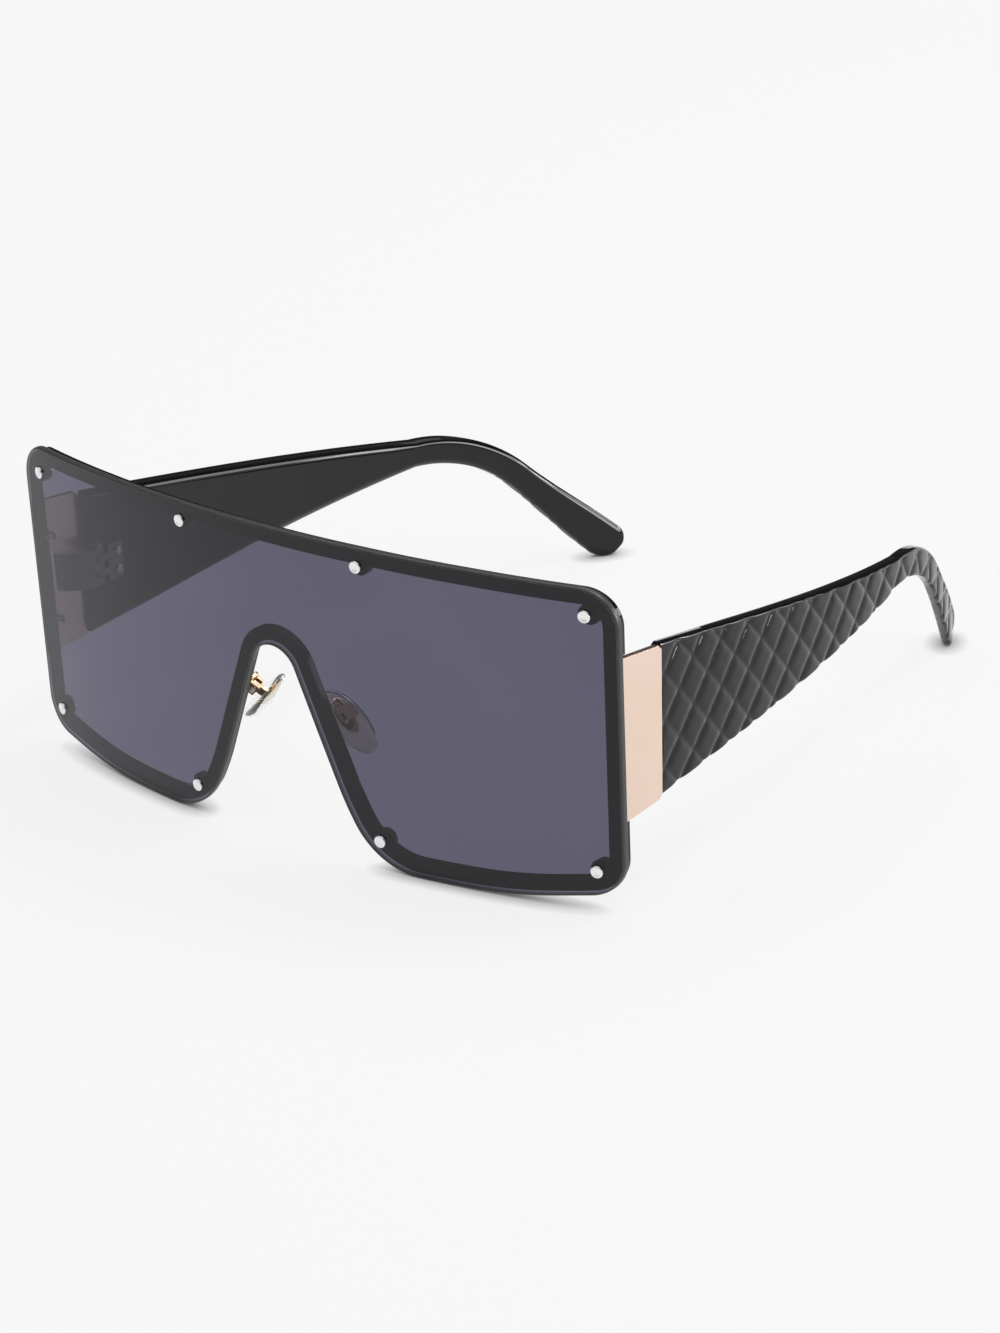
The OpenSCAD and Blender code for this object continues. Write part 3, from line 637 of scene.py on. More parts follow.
# %% [markdown]
# An end plate stands beside the rim on either side and leans out with the lens's side. There the
# rim's outer edge steps in, which leaves room for the plate and a little play. The step is drawn
# in the plate's own frame, so that the gap between rim and plate stays even from top to bottom.

# %% The outer edge beside the plates
PLATE_MID_H = 35.05 * MM
PLATE_H = 30.8 * MM
PLATE_FLARE = 1 * MM
PLATE_T = 1.2 * MM
PLATE_INSET = 0.26 * MM
PLATE_PLAY = 0.1 * MM
SIDE_SLOPE = (LENS_W - LENS_LOW_W) / 2 / (SIDE_H - LOW_CORNER_H)
SIDE_LEAN = math.atan(SIDE_SLOPE)
OUT_X = LENS_LOW_W / 2 + SIDE_SLOPE * (PLATE_MID_H - LOW_CORNER_H) - PLATE_INSET


def beside_plate(side, out, up):
    """A spot in a frame on the plate's inner face at its middle height, leaning with it."""
    x = OUT_X - PLATE_T + out * math.cos(SIDE_LEAN) + up * math.sin(SIDE_LEAN)
    return flat(side * x, PLATE_MID_H + up * math.cos(SIDE_LEAN) - out * math.sin(SIDE_LEAN))


def outer_edge():
    up = PLATE_H / 2 + PLATE_FLARE + PLATE_PLAY
    out = (PLATE_T + PLATE_INSET - RIM_INSET) * math.cos(SIDE_LEAN)
    step = [(out, up), (-PLATE_PLAY, up), (-PLATE_PLAY, -up), (out, -up)]
    loop = outline(RIM_INSET)
    edge = []
    for a, b in zip(loop, loop[1:] + loop[:1]):
        edge.append(a)
        if abs(a.z - b.z) > 2 * up and a.x > 0:
            edge += [beside_plate(1, *place) for place in step]
        elif abs(a.z - b.z) > 2 * up:
            edge += [beside_plate(-1, *place) for place in reversed(step)]
    return edge


print("outer edge points", len(outer_edge()), "side leans by", round(math.degrees(SIDE_LEAN), 2))


# %% [markdown]
# The face between the two loops is filled with triangles and cut into strips. Edges that aren't
# cuts are then dissolved, so the strips are clean, bend evenly and take a bevel well.

# %% The flat rim


def ring(bm, outer, inner):
    """The faces of a flat ring between two loops, in strips."""
    edges = []
    for loop in (outer, inner):
        verts = [bm.verts.new(p) for p in loop]
        edges += [bm.edges.new((a, b)) for a, b in zip(verts, verts[1:] + verts[:1])]
    bmesh.ops.triangle_fill(bm, use_beauty=True, edges=edges)
    cut_strips(bm)
    spare = [e for e in bm.edges if len(e.link_faces) == 2
             and abs(e.verts[0].co.x - e.verts[1].co.x) > SAME_PLACE]
    bmesh.ops.dissolve_edges(bm, edges=spare, use_verts=False, use_face_split=False)
    return list(bm.faces)


flat_rim = bmesh.new()
rim_strips = ring(flat_rim, outer_edge(), window())
print("faces of the flat rim", len(rim_strips))

# %% [markdown]
# The rim's outer back edge is generously rounded, which the solid has as a step. The edges along
# the window and beside the plates only lose their sharpness. An edge gets the wide rounding if its
# middle lies close to a point of the outer outline, whose points are at most a strip apart.

# %% Rim
RIM_ROUND = 1 * MM
RIM_ROUND_STEPS = 5
WINDOW_ROUND = 0.3 * MM
WINDOW_ROUND_STEPS = 3
NEAR_OUTLINE = 1.05 * STRIP / 2


def nearest(point, loop):
    return min((point - p).length for p in loop)


def rim_shape(bm, faces):
    sheet(bm, faces, RIM_FRONT, RIM_BACK)
    around = dense(outline(RIM_INSET), STRIP)
    wide, narrow = [], []
    for edge in border(bm, RIM_BACK):
        middle = (edge.verts[0].co + edge.verts[1].co) / 2
        middle.y = 0
        (wide if nearest(middle, around) < NEAR_OUTLINE else narrow).append(edge)
    round_edges(bm, narrow, WINDOW_ROUND, WINDOW_ROUND_STEPS)
    round_edges(bm, [e for e in wide if e.is_valid], RIM_ROUND, RIM_ROUND_STEPS)
    bend_all(bm)
    return bm


piece(rim_shape(flat_rim, rim_strips), "rim_frame")

# %% [markdown]
# ## The small metal pieces
# Plates, hinges, screws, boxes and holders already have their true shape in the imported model, but
# with knife-sharp edges, which no real metal has. A copy of such a node is merged into whole faces
# and its edges are rounded by a fraction of a millimetre, enough to catch a line of light. The
# table gives each kind of piece the width of that rounding and its number of narrow faces.

# %% Softened copies
MERGE = 0.001 * MM
COPLANAR = math.radians(1)
SHARP = math.radians(35)
SOFT_EDGES = {
    "end_plate": (0.2 * MM, 3),
    "front_hinge": (0.12 * MM, 2),
    "temple_hinge": (0.12 * MM, 2),
    "hinge_screw": (0.06 * MM, 2),
    "temple_screws": (0.05 * MM, 2),
    "pad_box": (0.1 * MM, 2),
    "pad_screw": (0.05 * MM, 2),
    "pad_holder": (0.1 * MM, 2)}
PLATE_SCREW_EDGE = (0.05 * MM, 2)


def softened(node, width, segments):
    bm = bmesh.new()
    bm.from_mesh(frame["nodes"][node].data)
    bmesh.ops.remove_doubles(bm, verts=bm.verts, dist=MERGE)
    bmesh.ops.dissolve_limit(bm, angle_limit=COPLANAR, verts=bm.verts, edges=bm.edges)
    sharp = [e for e in bm.edges if len(e.link_faces) == 2 and e.calc_face_angle() > SHARP]
    round_edges(bm, sharp, width, segments)
    piece(bm, node)


for side in ("left", "right"):
    for name, (width, segments) in SOFT_EDGES.items():
        softened(name + "_" + side, width, segments)
softened("end_plate_screws", *PLATE_SCREW_EDGE)

# %% [markdown]
# ## Rivets
# A rivet's head is turned on a lathe, so half its section spun round its axis makes it. The head
# is a low disc with a rounded rim and a slightly dished top. Behind the rim the shank is peened
# into a small dome. The section is a list of (radius, depth) pairs, from the head to the tail.

# %% Section of a rivet
RIVET_HEAD_R = 1.25 * MM
RIVET_HEAD_T = 0.4 * MM
RIVET_R = 0.7 * MM
RIVET_TAIL_R = 1.15 * MM
RIVET_TAIL_T = 0.35 * MM
HEAD_ROUND = 0.45 * RIVET_HEAD_T
TAIL_ROUND = 0.8 * RIVET_TAIL_T
DISH_LIP_R = 0.7 * RIVET_HEAD_R
DISH_R = 0.62 * RIVET_HEAD_R
DISH_EDGE_DEEP = 0.12 * RIVET_HEAD_T
DISH_DEEP = 0.16 * RIVET_HEAD_T
HEAD_TOP = -FIT_GAP - RIVET_HEAD_T
TAIL_BASE = RIM_BACK + FIT_GAP
ROUND_STEPS = 4


def rounded(radius, base, top, soft):
    """A corner of a turned section: (radius, depth) along a quarter circle from side to top."""
    rise = 1 if top > base else -1
    return [(radius - soft + soft * math.cos(a), top - rise * soft + rise * soft * math.sin(a))
            for a in [math.pi / 2 * k / ROUND_STEPS for k in range(ROUND_STEPS + 1)]]


def rivet_section():
    head = [(RIVET_R, -FIT_GAP), (RIVET_HEAD_R, -FIT_GAP)]
    head += rounded(RIVET_HEAD_R, -FIT_GAP, HEAD_TOP, HEAD_ROUND)
    head += [(DISH_LIP_R, HEAD_TOP), (DISH_R, HEAD_TOP + DISH_EDGE_DEEP),
             (0, HEAD_TOP + DISH_DEEP)]
    tail_top = TAIL_BASE + RIVET_TAIL_T
    tail = [(RIVET_R, TAIL_BASE), (RIVET_TAIL_R, TAIL_BASE)]
    tail += rounded(RIVET_TAIL_R, TAIL_BASE, tail_top, TAIL_ROUND) + [(0, tail_top)]
    return head[::-1] + tail


print("points of the section", len(rivet_section()))

# %% [markdown]
# The spun rivet is joined to itself where the turn closes and on its axis. Each rivet then stands
# square to the bent lens at its own place, and all eight are one mesh, as they are one node.

# %% Rivets
TURN_STEPS = 48
SMOOTH_TURNED = math.radians(50)


def turned(section):
    """Spins a section of (radius, depth) pairs round the depth axis."""
    bm = bmesh.new()
    start = [bm.verts.new((r, d, 0)) for r, d in section]
    edges = [bm.edges.new(pair) for pair in zip(start, start[1:])]
    bmesh.ops.spin(bm, geom=start + edges, cent=(0, 0, 0), axis=(0, 1, 0),
                   angle=2 * math.pi, steps=TURN_STEPS, use_merge=True)
    bmesh.ops.remove_doubles(bm, verts=bm.verts, dist=SAME_PLACE)
    bmesh.ops.recalc_face_normals(bm, faces=bm.faces)
    return bm


def joined(shapes):
    """One mesh from several, which are freed."""
    whole = bmesh.new()
    carrier = bpy.data.meshes.new("carrier")
    for bm in shapes:
        bm.to_mesh(carrier)
        bm.free()
        whole.from_mesh(carrier)
    bpy.data.meshes.remove(carrier)
    return whole


def stood_on_front(bm, spot):
    for v in bm.verts:
        v.co = square_to_front(spot.x, spot.z, *v.co)
    return bm


rivets = joined([stood_on_front(turned(rivet_section()), spot) for spot in ALL_RIVETS])
piece(rivets, "lens_rivets", SMOOTH_TURNED)

# %% [markdown]
# ## The temples
# A temple is one moulding: tall and flat at the hinge, it tapers, turns down over the ear and
# hooks inwards. Its outer face is quilted into diamonds, its inner face is plain with a bevel
# along both edges. A grid is the natural start: one way it runs along the arm, the other way
# round its section. Every point of the grid is then laid on the arm.

# %% Sizes of the temple
TEMPLE_H = 30.4 * MM
STRAIGHT = 90 * MM
BEND_R = 36.6 * MM
SLOPE = math.radians(1)
TAIL_SLOPE = math.radians(45.3)
TAIL = 26.7 * MM
EAR_H = 6 * MM
NECK_H = 5.5 * MM
TIP_H = 7.7 * MM
BEND_LEN = BEND_R * (TAIL_SLOPE - SLOPE)
ARM_LEN = STRAIGHT + BEND_LEN + TAIL
TIP_R = TIP_H / 2
TIP_REACH = TIP_R - 0.03 * MM
SEAM_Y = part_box("temple_left")[0].y + TEMPLE_H / 2 * math.sin(SLOPE)
ARM_Z = TIP_R + TAIL * math.sin(TAIL_SLOPE) + STRAIGHT * math.sin(SLOPE) \
    + BEND_R * (math.cos(SLOPE) - math.cos(TAIL_SLOPE))
ARM_REACH = STRAIGHT * math.cos(SLOPE) + BEND_R * (math.sin(TAIL_SLOPE) - math.sin(SLOPE)) \
    + TAIL * math.cos(TAIL_SLOPE)
print("arm length mm", round((ARM_LEN + TIP_R) / MM, 1), "reach mm", round(ARM_REACH / MM, 1))


# %% [markdown]
# Seen from the side, the arm follows a middle line: nearly level, then a round bend, then a
# straight tail down to the table. A place on the arm is given by its length s along this line
# and its height t over it.

# %% The arm's middle line


def arm_path(s):
    """Middle line of the arm at a length s: its y, its z and its slope."""
    if s <= STRAIGHT:
        return SEAM_Y + s * math.cos(SLOPE), ARM_Z - s * math.sin(SLOPE), SLOPE
    if s <= STRAIGHT + BEND_LEN:
        a = SLOPE + (s - STRAIGHT) / BEND_R
        y = SEAM_Y + STRAIGHT * math.cos(SLOPE) + BEND_R * (math.sin(a) - math.sin(SLOPE))
        z = ARM_Z - STRAIGHT * math.sin(SLOPE) - BEND_R * (math.cos(SLOPE) - math.cos(a))
        return y, z, a
    left = ARM_LEN - min(s, ARM_LEN)
    return (SEAM_Y + ARM_REACH - left * math.cos(TAIL_SLOPE),
            TIP_R + left * math.sin(TAIL_SLOPE), TAIL_SLOPE)


def beside_path(s, t):
    """The y and z of a spot at a height t over the middle line, also past the arm's end."""
    y, z, slope = arm_path(s)
    over = max(0, s - ARM_LEN)
    return (y + over * math.cos(slope) + t * math.sin(slope),
            z + t * math.cos(slope) - over * math.sin(slope))


print("the middle line ends over the table by mm", round(arm_path(ARM_LEN)[1] / MM, 2))


# %% [markdown]
# The arm's height shrinks evenly as far as the bend and more slowly round it, then grows a little
# towards the round tip. The ease function leads from one size to the next without a kink.

# %% The arm's height


def ease(t):
    u = min(1, max(0, t))
    return u * u * (3 - 2 * u)


def mix(a, b, t):
    return a + (b - a) * t


def tip_share(s):
    """One along the arm, falling to zero over the round tip."""
    return math.sqrt(max(0, 1 - (max(0, s - ARM_LEN) / TIP_REACH) ** 2))


def half_height(s):
    if s < STRAIGHT:
        return mix(TEMPLE_H, EAR_H, s / STRAIGHT) / 2
    if s < ARM_LEN:
        ear = mix(EAR_H, NECK_H, ease((s - STRAIGHT) / BEND_LEN))
        return mix(ear, TIP_H, ease((s - STRAIGHT - BEND_LEN) / TAIL)) / 2
    return TIP_R * tip_share(s)


print("heights mm", [round(2 * half_height(s) / MM, 1) for s in (0, STRAIGHT, ARM_LEN)])


# %% [markdown]
# Seen from above, the arm leans inwards a little at first and hooks more and more towards its
# tip. It is thinnest at the hinge, swells just behind it and thins a little towards the tip.

# %% The arm seen from above
SPLAY_IN = 4.7 * MM
HOOK_IN = 23.9 * MM
HOOK_POWER = 3
T_FRONT = 2.9 * MM
T_MIDDLE = 3.4 * MM
T_TIP = 3.2 * MM
SWELL = 22 * MM


def outer_x(y):
    u = max(0, (y - SEAM_Y) / (ARM_REACH + TIP_R))
    return OUT_X - SPLAY_IN * u - HOOK_IN * u ** HOOK_POWER


def inner_x(y):
    s = y - SEAM_Y
    thick = mix(mix(T_FRONT, T_MIDDLE, ease(s / SWELL)), T_TIP, ease(s / ARM_LEN))
    return outer_x(y) - thick


print("tail ends inwards by mm", round((outer_x(SEAM_Y) - outer_x(SEAM_Y + ARM_REACH)) / MM, 1))


# %% [markdown]
# The quilting is cushioned: every diamond swells evenly and meets its neighbours in a narrow
# groove. Two families of slanting lines make it, and the rows of diamonds arch a little along
# the arm. A pillow is the product of two teeth, one for each family. Where the grooves reach the
# lower edge they leave small scallops in it. Along the upper edge they run out in a plain welt.

# %% Quilting
QUILT_PITCH = 9.1 * MM
QUILT_RISE = 9.4 * MM
QUILT_START = 10.3 * MM
QUILT_SLOPE = 0.055
QUILT_BOW_R = 1100 * MM
QUILT_DEPTH = 0.45 * MM
QUILT_POWER = 4
SCALLOP_LOW = 0.35 * MM
SCALLOP_POWER = 6
WELT = 0.25 * MM
WELT_RUN = 0.8 * MM


def tooth(x):
    return abs(2 * (x - math.floor(x)) - 1)


def pillow(s, t):
    """One in the middle of a diamond and zero in the grooves."""
    d = s - QUILT_START
    along = d / QUILT_PITCH
    up = (t - QUILT_SLOPE * d + d * d / (2 * QUILT_BOW_R)) / QUILT_RISE
    return (1 - tooth(along + up) ** QUILT_POWER) * (1 - tooth(along - up) ** QUILT_POWER)


def groove(s, t):
    """How deep the quilting is cut: whole in the grooves, and none on the welt."""
    below = half_height(s) - WELT - t
    return QUILT_DEPTH * (1 - pillow(s, t)) * ease(below / WELT_RUN)


def scallop(s, v):
    """How far the lower edge draws in at the grooves, fading out over the ear."""
    fading = 1 - ease((s - STRAIGHT) / BEND_LEN)
    return SCALLOP_LOW * (1 - pillow(s, v * half_height(s))) * max(0, -v) ** SCALLOP_POWER * fading


print("diamonds along the straight arm", int((STRAIGHT - QUILT_START) / QUILT_PITCH))


# %% [markdown]
# Across the section, w runs from -1 at the lower edge to 1 at the upper one, evenly from row to
# row. The outer face crowds its rows towards both edges, where a quarter round turns them over,
# and is crowned less where the arm is lower. The inner face spends half of its rows on its bevels.
# Both faces draw together over the round tip.

# %% The arm's two faces
CROWN = 0.35 * MM
EDGE_ROUND = 0.8 * MM
BEVEL_H = 1.9 * MM
BEVEL_T = 0.9 * MM
TIP_ROUND = 1.5 * MM


def edge_drop(s, t):
    """The quarter round along both edges of the quilted face."""
    into = max(0, abs(t) - half_height(s) + EDGE_ROUND)
    return EDGE_ROUND - math.sqrt(max(0, EDGE_ROUND ** 2 - into ** 2))


def outer_point(s, w):
    v = w * (1.5 - 0.5 * w * w)
    half = half_height(s)
    t = v * max(half - scallop(s, v), half / 2)
    y, z = beside_path(s, t)
    share = tip_share(s)
    crown = CROWN * half / (TEMPLE_H / 2)
    drop = crown * v * v + edge_drop(s, t) + groove(s, t)
    return Vector((outer_x(y) - drop * share - TIP_ROUND * (1 - share) ** 2, y, z))


def inner_point(s, w):
    half = half_height(s)
    bevel = min(BEVEL_H, half / 2)
    on_bevel = max(0, 2 * abs(w) - 1)
    t = math.copysign((half - bevel) * min(1, 2 * abs(w)) + bevel * on_bevel, w)
    y, z = beside_path(s, t)
    share = tip_share(s)
    x = inner_x(y) + BEVEL_T * on_bevel ** 2 * share + TIP_ROUND * (1 - share) ** 2
    return Vector((x, y, z))


print("thickness mm", round((outer_point(STRAIGHT, 0).x - inner_point(STRAIGHT, 0).x) / MM, 1))

# %% [markdown]
# The grid has so many stations along the arm that the grooves, which run slantwise over it, stay
# smooth. Its long edges are merged, and the open front end is closed with a cap. The right temple
# is the left one's mirror. A mirror turns a mesh inside out, so its faces are turned back.

# %% Temples
STATIONS = 440
OUTER_ROWS = 88
INNER_ROWS = 32
TIP_STATIONS = 14
TEMPLE_MERGE = 0.002 * MM
SMOOTH_QUILT = math.radians(60)


def station(i):
    """The length along the arm of a column of the grid: even, then closer over the tip."""
    if i <= STATIONS:
        return ARM_LEN * i / STATIONS
    return ARM_LEN + TIP_REACH * math.sin(math.pi / 2 * (i - STATIONS) / TIP_STATIONS)


def temple_shape():
    bm = bmesh.new()
    along = STATIONS + TIP_STATIONS
    around = OUTER_ROWS + INNER_ROWS + 1
    made = bmesh.ops.create_grid(bm, x_segments=along, y_segments=around, size=0.5)["verts"]
    for v in made:
        s = station(round((v.co.x + 0.5) * along))
        j = round((v.co.y + 0.5) * around)
        if j == around:
            v.co = outer_point(s, -1)
        elif j <= OUTER_ROWS:
            v.co = outer_point(s, 2 * j / OUTER_ROWS - 1)
        else:
            v.co = inner_point(s, 1 - 2 * (j - OUTER_ROWS - 1) / (INNER_ROWS - 1))
    bmesh.ops.remove_doubles(bm, verts=bm.verts, dist=TEMPLE_MERGE)
    bmesh.ops.holes_fill(bm, edges=[e for e in bm.edges if e.is_boundary], sides=0)
    bmesh.ops.recalc_face_normals(bm, faces=bm.faces)
    return bm


def mirrored(bm):
    other = bm.copy()
    bmesh.ops.scale(other, vec=(-1, 1, 1), verts=other.verts)
    bmesh.ops.reverse_faces(other, faces=other.faces)
    return other


left_temple = temple_shape()
right_temple = mirrored(left_temple)
piece(left_temple, "temple_left", SMOOTH_QUILT)
piece(right_temple, "temple_right", SMOOTH_QUILT)

# %% [markdown]
# ## Nose pads and their wires
# A pad is moulded round its metal holder, so it needs no hollow of its own. It has a flat back, a
# slightly domed face towards the nose, and an edge that is round all the way. A sphere has the
# right pattern of points for it. Its disc is stretched to the pad's oval, and its height becomes
# the pad's thickness, which stays nearly full until close to the edge.

# %% Pads
PAD_LEN = 15.3 * MM
PAD_W = 7.1 * MM
PAD_T = 2.6 * MM
PAD_BACK_T = 0.95 * MM
PAD_DOME_R = 30 * MM
PAD_FULLNESS = 8
PAD_SEGMENTS, PAD_RINGS = 80, 40
PAD_PLACE = Vector((11 * MM, 8 * MM + SEAT.y, 25.4 * MM))
PAD_ROLL, PAD_TIP, PAD_SPLAY = math.radians(-48), math.radians(3.3), math.radians(-28)
PAD_TURN = Matrix.Rotation(PAD_ROLL, 3, "Y") @ Matrix.Rotation(PAD_TIP, 3, "X") \
    @ Matrix.Rotation(PAD_SPLAY, 3, "Z")


def from_pad(back, across, along):
    return PAD_PLACE + PAD_TURN @ Vector((back, across, along))


def pad_shape():
    bm = bmesh.new()
    bmesh.ops.create_uvsphere(bm, u_segments=PAD_SEGMENTS, v_segments=PAD_RINGS, radius=1)
    for v in bm.verts:
        across, along = v.co.x * PAD_W / 2, v.co.y * PAD_LEN / 2
        share = min(1, math.hypot(v.co.x, v.co.y))
        sag = PAD_DOME_R - math.sqrt(PAD_DOME_R ** 2 - across ** 2 - along ** 2)
        dome = PAD_BACK_T - PAD_T + sag
        middle = (dome + PAD_BACK_T) / 2
        half = (PAD_BACK_T - dome) / 2 * math.sqrt(1 - share ** PAD_FULLNESS)
        v.co = from_pad(middle + math.copysign(half, v.co.z), across, along)
    bmesh.ops.recalc_face_normals(bm, faces=bm.faces)
    return bm


left_pad = pad_shape()
right_pad = mirrored(left_pad)
piece(left_pad, "nose_pad_left")
piece(right_pad, "nose_pad_right")

# %% [markdown]
# A pad arm is a gold-plated wire that leaves a round foot on the rim, bows out over the pad and
# dives into the box behind it. A Bezier curve with one handle square to the rim and one along the
# pad gives the bow, and the curve's own round bevel gives the wire.

# %% Wire of a pad arm
WIRE_R = 0.55 * MM
WIRE_BOW = 2.8 * MM
WIRE_STEPS = 40
WIRE_ROUND = 6
ARM_FOOT = flat(10.7 * MM, 30.6 * MM)
ARM_FOOT_T = 0.5 * MM
BOX_BACK, BOX_TOP = 4.4 * MM, 2.25 * MM


def wire_shape():
    middle_of_foot = RIM_BACK + ARM_FOOT_T / 2
    start = square_to_front(ARM_FOOT.x, ARM_FOOT.z, 0, middle_of_foot, 0)
    out = square_to_front(ARM_FOOT.x, ARM_FOOT.z, 0, middle_of_foot + WIRE_BOW, 0)
    end = from_pad(BOX_BACK, 0, BOX_TOP)
    above = from_pad(BOX_BACK, 0, BOX_TOP + WIRE_BOW)
    curve = bpy.data.curves.new("wire path", "CURVE")
    curve.dimensions = "3D"
    curve.resolution_u = WIRE_STEPS
    curve.bevel_depth = WIRE_R
    curve.bevel_resolution = WIRE_ROUND
    curve.use_fill_caps = True
    spline = curve.splines.new("BEZIER")
    spline.bezier_points.add(1)
    for knot, place, before, after in zip(spline.bezier_points, (start, end),
                                          (2 * start - out, above), (out, 2 * end - above)):
        knot.co, knot.handle_left, knot.handle_right = place, before, after
    path = bpy.data.objects.new("wire path", curve)
    bm = bmesh.new()
    bm.from_mesh(path.to_mesh())
    path.to_mesh_clear()
    bpy.data.objects.remove(path)
    bpy.data.curves.remove(curve)
    bmesh.ops.remove_doubles(bm, verts=bm.verts, dist=SAME_PLACE)
    return bm


print("foot of the wire mm", [round(c / MM, 1) for c in on_front(ARM_FOOT.x, RIM_BACK, ARM_FOOT.z)])

# %% [markdown]
# The foot is a small turned disc with a pin that is pressed into the rim. It is spun like a rivet
# and stands square to the lens in the same way.

# %% Foot, and the whole pad arms
ARM_FOOT_R = 1.1 * MM
ARM_FOOT_ROUND = 0.6 * ARM_FOOT_T
ARM_PIN_R = 0.5 * MM
ARM_PIN_LEN = 0.9 * MM


def foot_shape():
    base = RIM_BACK + FIT_GAP
    top = base + ARM_FOOT_T
    section = [(0, RIM_BACK - ARM_PIN_LEN), (ARM_PIN_R, RIM_BACK - ARM_PIN_LEN),
               (ARM_PIN_R, base), (ARM_FOOT_R, base)]
    section += rounded(ARM_FOOT_R, base, top, ARM_FOOT_ROUND) + [(0, top)]
    return stood_on_front(turned(section), ARM_FOOT)


left_arm = joined([wire_shape(), foot_shape()])
right_arm = mirrored(left_arm)
piece(left_arm, "pad_arm_left", SMOOTH_TURNED)
piece(right_arm, "pad_arm_right", SMOOTH_TURNED)

# %% [markdown]
# ## Floor, light and camera
# The sunglasses stand on a sheet of white acrylic that is lit from below, so that most of its
# white is its own even glow and lamp shadows stay faint. Where the sunglasses nearly touch the
# sheet, an ambient occlusion of a few millimetres dims that glow: a painted contact shadow.

# %% Floor
FLOOR = (0.12, 0.12, 0.12)
FLOOR_ROUGH = 0.9
FLOOR_HALF = 6
GLOW = (0.93, 0.93, 0.935)
GLOW_STRENGTH = 0.868
# Reach and depth of the painted contact shadow, which dims the floor's glow under the sunglasses.
PAINTED_SHADOW_REACH = 4 * MM
PAINTED_SHADOW_DARKEST_AO = 0.2
PAINTED_SHADOW_GLOW = 0.1 * GLOW_STRENGTH
acrylic = Finish("floor_acrylic", FLOOR, FLOOR_ROUGH, Specular_IOR_Level=0.0)
acrylic.shader.inputs["Emission Color"].default_value = (*GLOW, 1)
# Ambient occlusion dims the glow close under the sunglasses: this is a painted contact shadow.
painted_shadow_ao = acrylic.tree.nodes.new("ShaderNodeAmbientOcclusion")
painted_shadow_ao.inputs["Distance"].default_value = PAINTED_SHADOW_REACH
painted_contact_shadow = acrylic.tree.nodes.new("ShaderNodeMapRange")
painted_contact_shadow.inputs["From Min"].default_value = PAINTED_SHADOW_DARKEST_AO
painted_contact_shadow.inputs["To Min"].default_value = PAINTED_SHADOW_GLOW
painted_contact_shadow.inputs["To Max"].default_value = GLOW_STRENGTH
acrylic.tree.links.new(painted_shadow_ao.outputs["AO"], painted_contact_shadow.inputs["Value"])
acrylic.tree.links.new(painted_contact_shadow.outputs["Result"], acrylic.shader.inputs["Emission Strength"])

bm = bmesh.new()
bmesh.ops.create_grid(bm, x_segments=1, y_segments=1, size=FLOOR_HALF)
floor_mesh = bpy.data.meshes.new("floor")
bm.to_mesh(floor_mesh)
bm.free()
floor_mesh.materials.append(acrylic.material)
floor = bpy.data.objects.new("floor", floor_mesh)
bpy.context.scene.collection.objects.link(floor)
print("floor glows with", GLOW_STRENGTH, "and close under a piece with", round(PAINTED_SHADOW_GLOW, 3))

# %% [markdown]
# Gloss shows its surroundings, so these matter more than the light that they give. The studio is
# dim low down, which draws dark lines along rounded edges, and brighter overhead. Only to the
# camera does it end in a pale backdrop, which a low view sees over the floor's far edge.

# %% Room
ROOM_LOW = 0.05
ROOM_HIGH = 0.5
ROOM_RISES = (0.40, 0.75)
BACKDROP = 0.86
world = bpy.data.worlds.new("studio")
world.use_nodes = True
room = world.node_tree
height = room.nodes.new("ShaderNodeSeparateXYZ")
rising = room.nodes.new("ShaderNodeMapRange")
rising.interpolation_type = "SMOOTHSTEP"
for socket, value in (("From Min", ROOM_RISES[0]), ("From Max", ROOM_RISES[1]),
                      ("To Min", ROOM_LOW), ("To Max", ROOM_HIGH)):
    rising.inputs[socket].default_value = value
backdrop = room.nodes.new("ShaderNodeMix")
backdrop.inputs["B"].default_value = BACKDROP
seen_directly = room.nodes.new("ShaderNodeLightPath").outputs["Is Camera Ray"]
direction = room.nodes.new("ShaderNodeTexCoord").outputs["Generated"]
look = room.nodes["Background"]
look.inputs["Color"].default_value = (1, 1, 1, 1)
room.links.new(direction, height.inputs["Vector"])
room.links.new(height.outputs["Z"], rising.inputs["Value"])
room.links.new(rising.outputs["Result"], backdrop.inputs["A"])
room.links.new(seen_directly, backdrop.inputs["Factor"])
room.links.new(backdrop.outputs["Result"], look.inputs["Strength"])
bpy.context.scene.world = world
print("room from", ROOM_LOW, "to", ROOM_HIGH, "backdrop", BACKDROP)


# %% [markdown]
# A wide softbox hangs overhead. Low strip lamps behind and beside the sunglasses draw a bright
# line along each bevel, and two small hot lamps give the glints. A lamp's brightness is what a
# mirror would show of it; its power follows from that and its area.

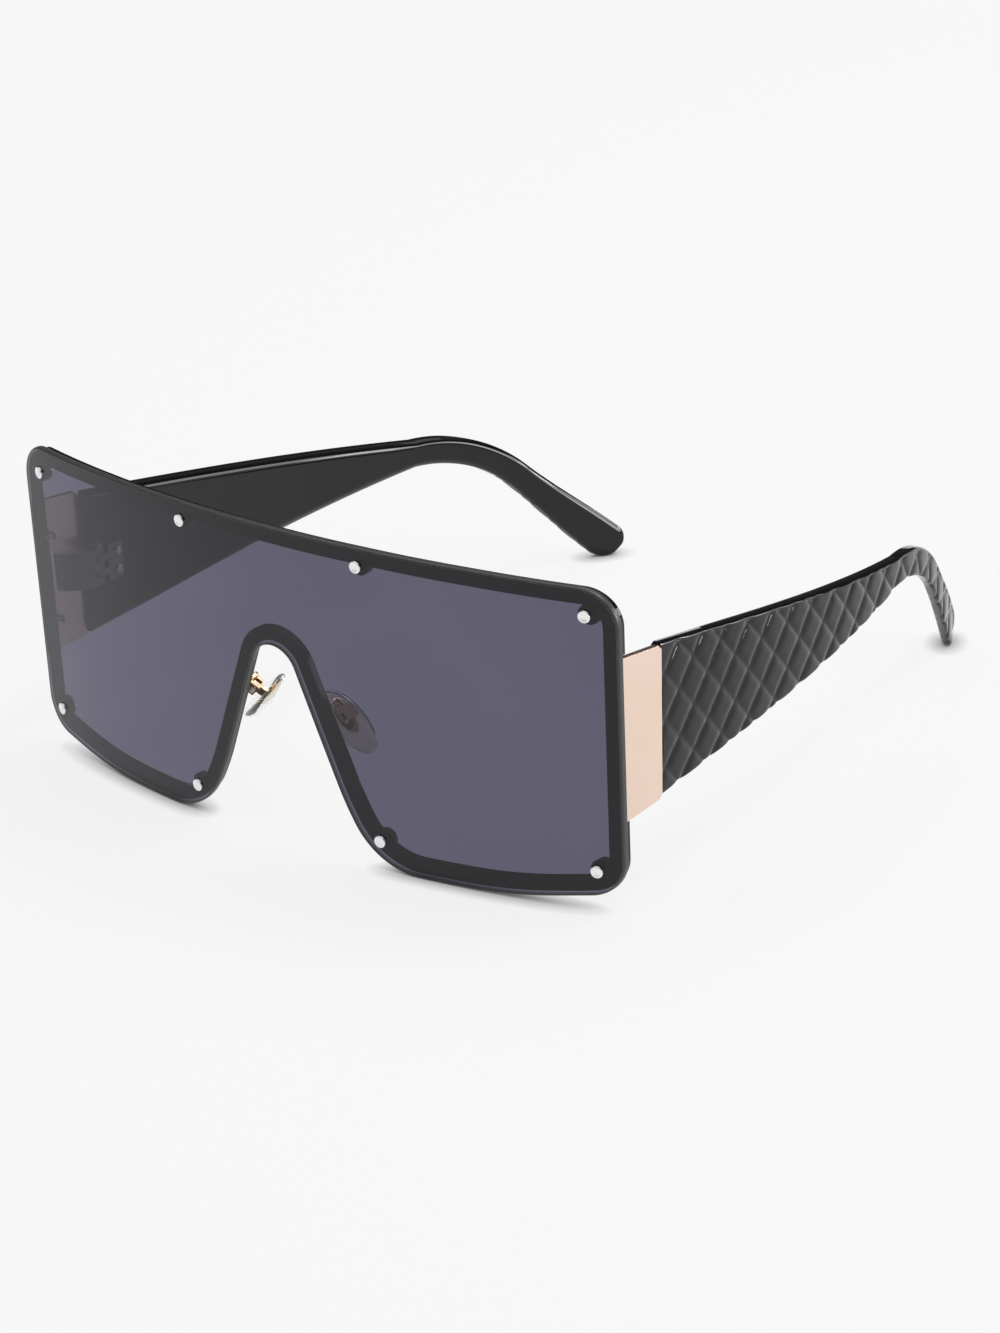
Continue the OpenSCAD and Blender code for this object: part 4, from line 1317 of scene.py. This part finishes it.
# %% Lamps
AT_MIDDLE = (0, 0, 0.04)
AT_LEFT_TEMPLE = (0.07, 0, 0.04)


def lamp(name, place, aim, size, brightness):
    data = bpy.data.lights.new(name, "AREA")
    data.shape = "RECTANGLE"
    data.size, data.size_y = size
    data.energy = brightness * math.pi * size[0] * size[1]
    holder = bpy.data.objects.new(name, data)
    holder.location = place
    holder.rotation_euler = (Vector(aim) - Vector(place)).to_track_quat("-Z", "Y").to_euler()
    bpy.context.scene.collection.objects.link(holder)
    print(name, "power", round(data.energy, 2))


lamp("softbox_overhead", place=(0, 0.1, 1.5), aim=(0, 0, 0), size=(2.4, 2.4), brightness=1.15)
lamp("strip_behind", place=(0.87, 0.92, 0.28), aim=AT_MIDDLE, size=(0.9, 0.36), brightness=5)
lamp("strip_beside", place=(1.26, 0.55, 0.25), aim=AT_LEFT_TEMPLE, size=(0.62, 0.40), brightness=8)
lamp("glint_behind", place=(0.76, 1.06, 0.32), aim=AT_LEFT_TEMPLE, size=(0.07, 0.07), brightness=60)
lamp("glint_above", place=(0.35, 0.45, 1.0), aim=(0, 0, 0.03), size=(0.16, 0.16), brightness=24)

# %% [markdown]
# The camera stands where the photograph was taken from: to the wearer's left of the front,
# a little under a metre away and looking down by twenty-two degrees, through a long lens.

# %% Camera
EYE = Vector((552.15 * MM, -590.24 * MM + SEAT.y, 362.42 * MM))
TURNED = math.radians(40.084)
LOOKING_DOWN = math.radians(22.079)
ROLLED = math.radians(-2.082)
FOCAL_MM = 123.81
SENSOR_MM = 36
view = bpy.data.cameras.new("camera")
view.lens = FOCAL_MM
view.sensor_width = SENSOR_MM
view.clip_start = 10 * MM
camera = bpy.data.objects.new("camera", view)
bpy.context.scene.collection.objects.link(camera)
facing = Matrix.Rotation(TURNED, 4, "Z") @ Matrix.Rotation(math.pi / 2 - LOOKING_DOWN, 4, "X") \
    @ Matrix.Rotation(ROLLED, 4, "Z")
camera.matrix_world = Matrix.Translation(EYE) @ facing
bpy.context.scene.camera = camera
bpy.context.scene.view_settings.view_transform = "Standard"
print("camera distance mm", round(EYE.length / MM))
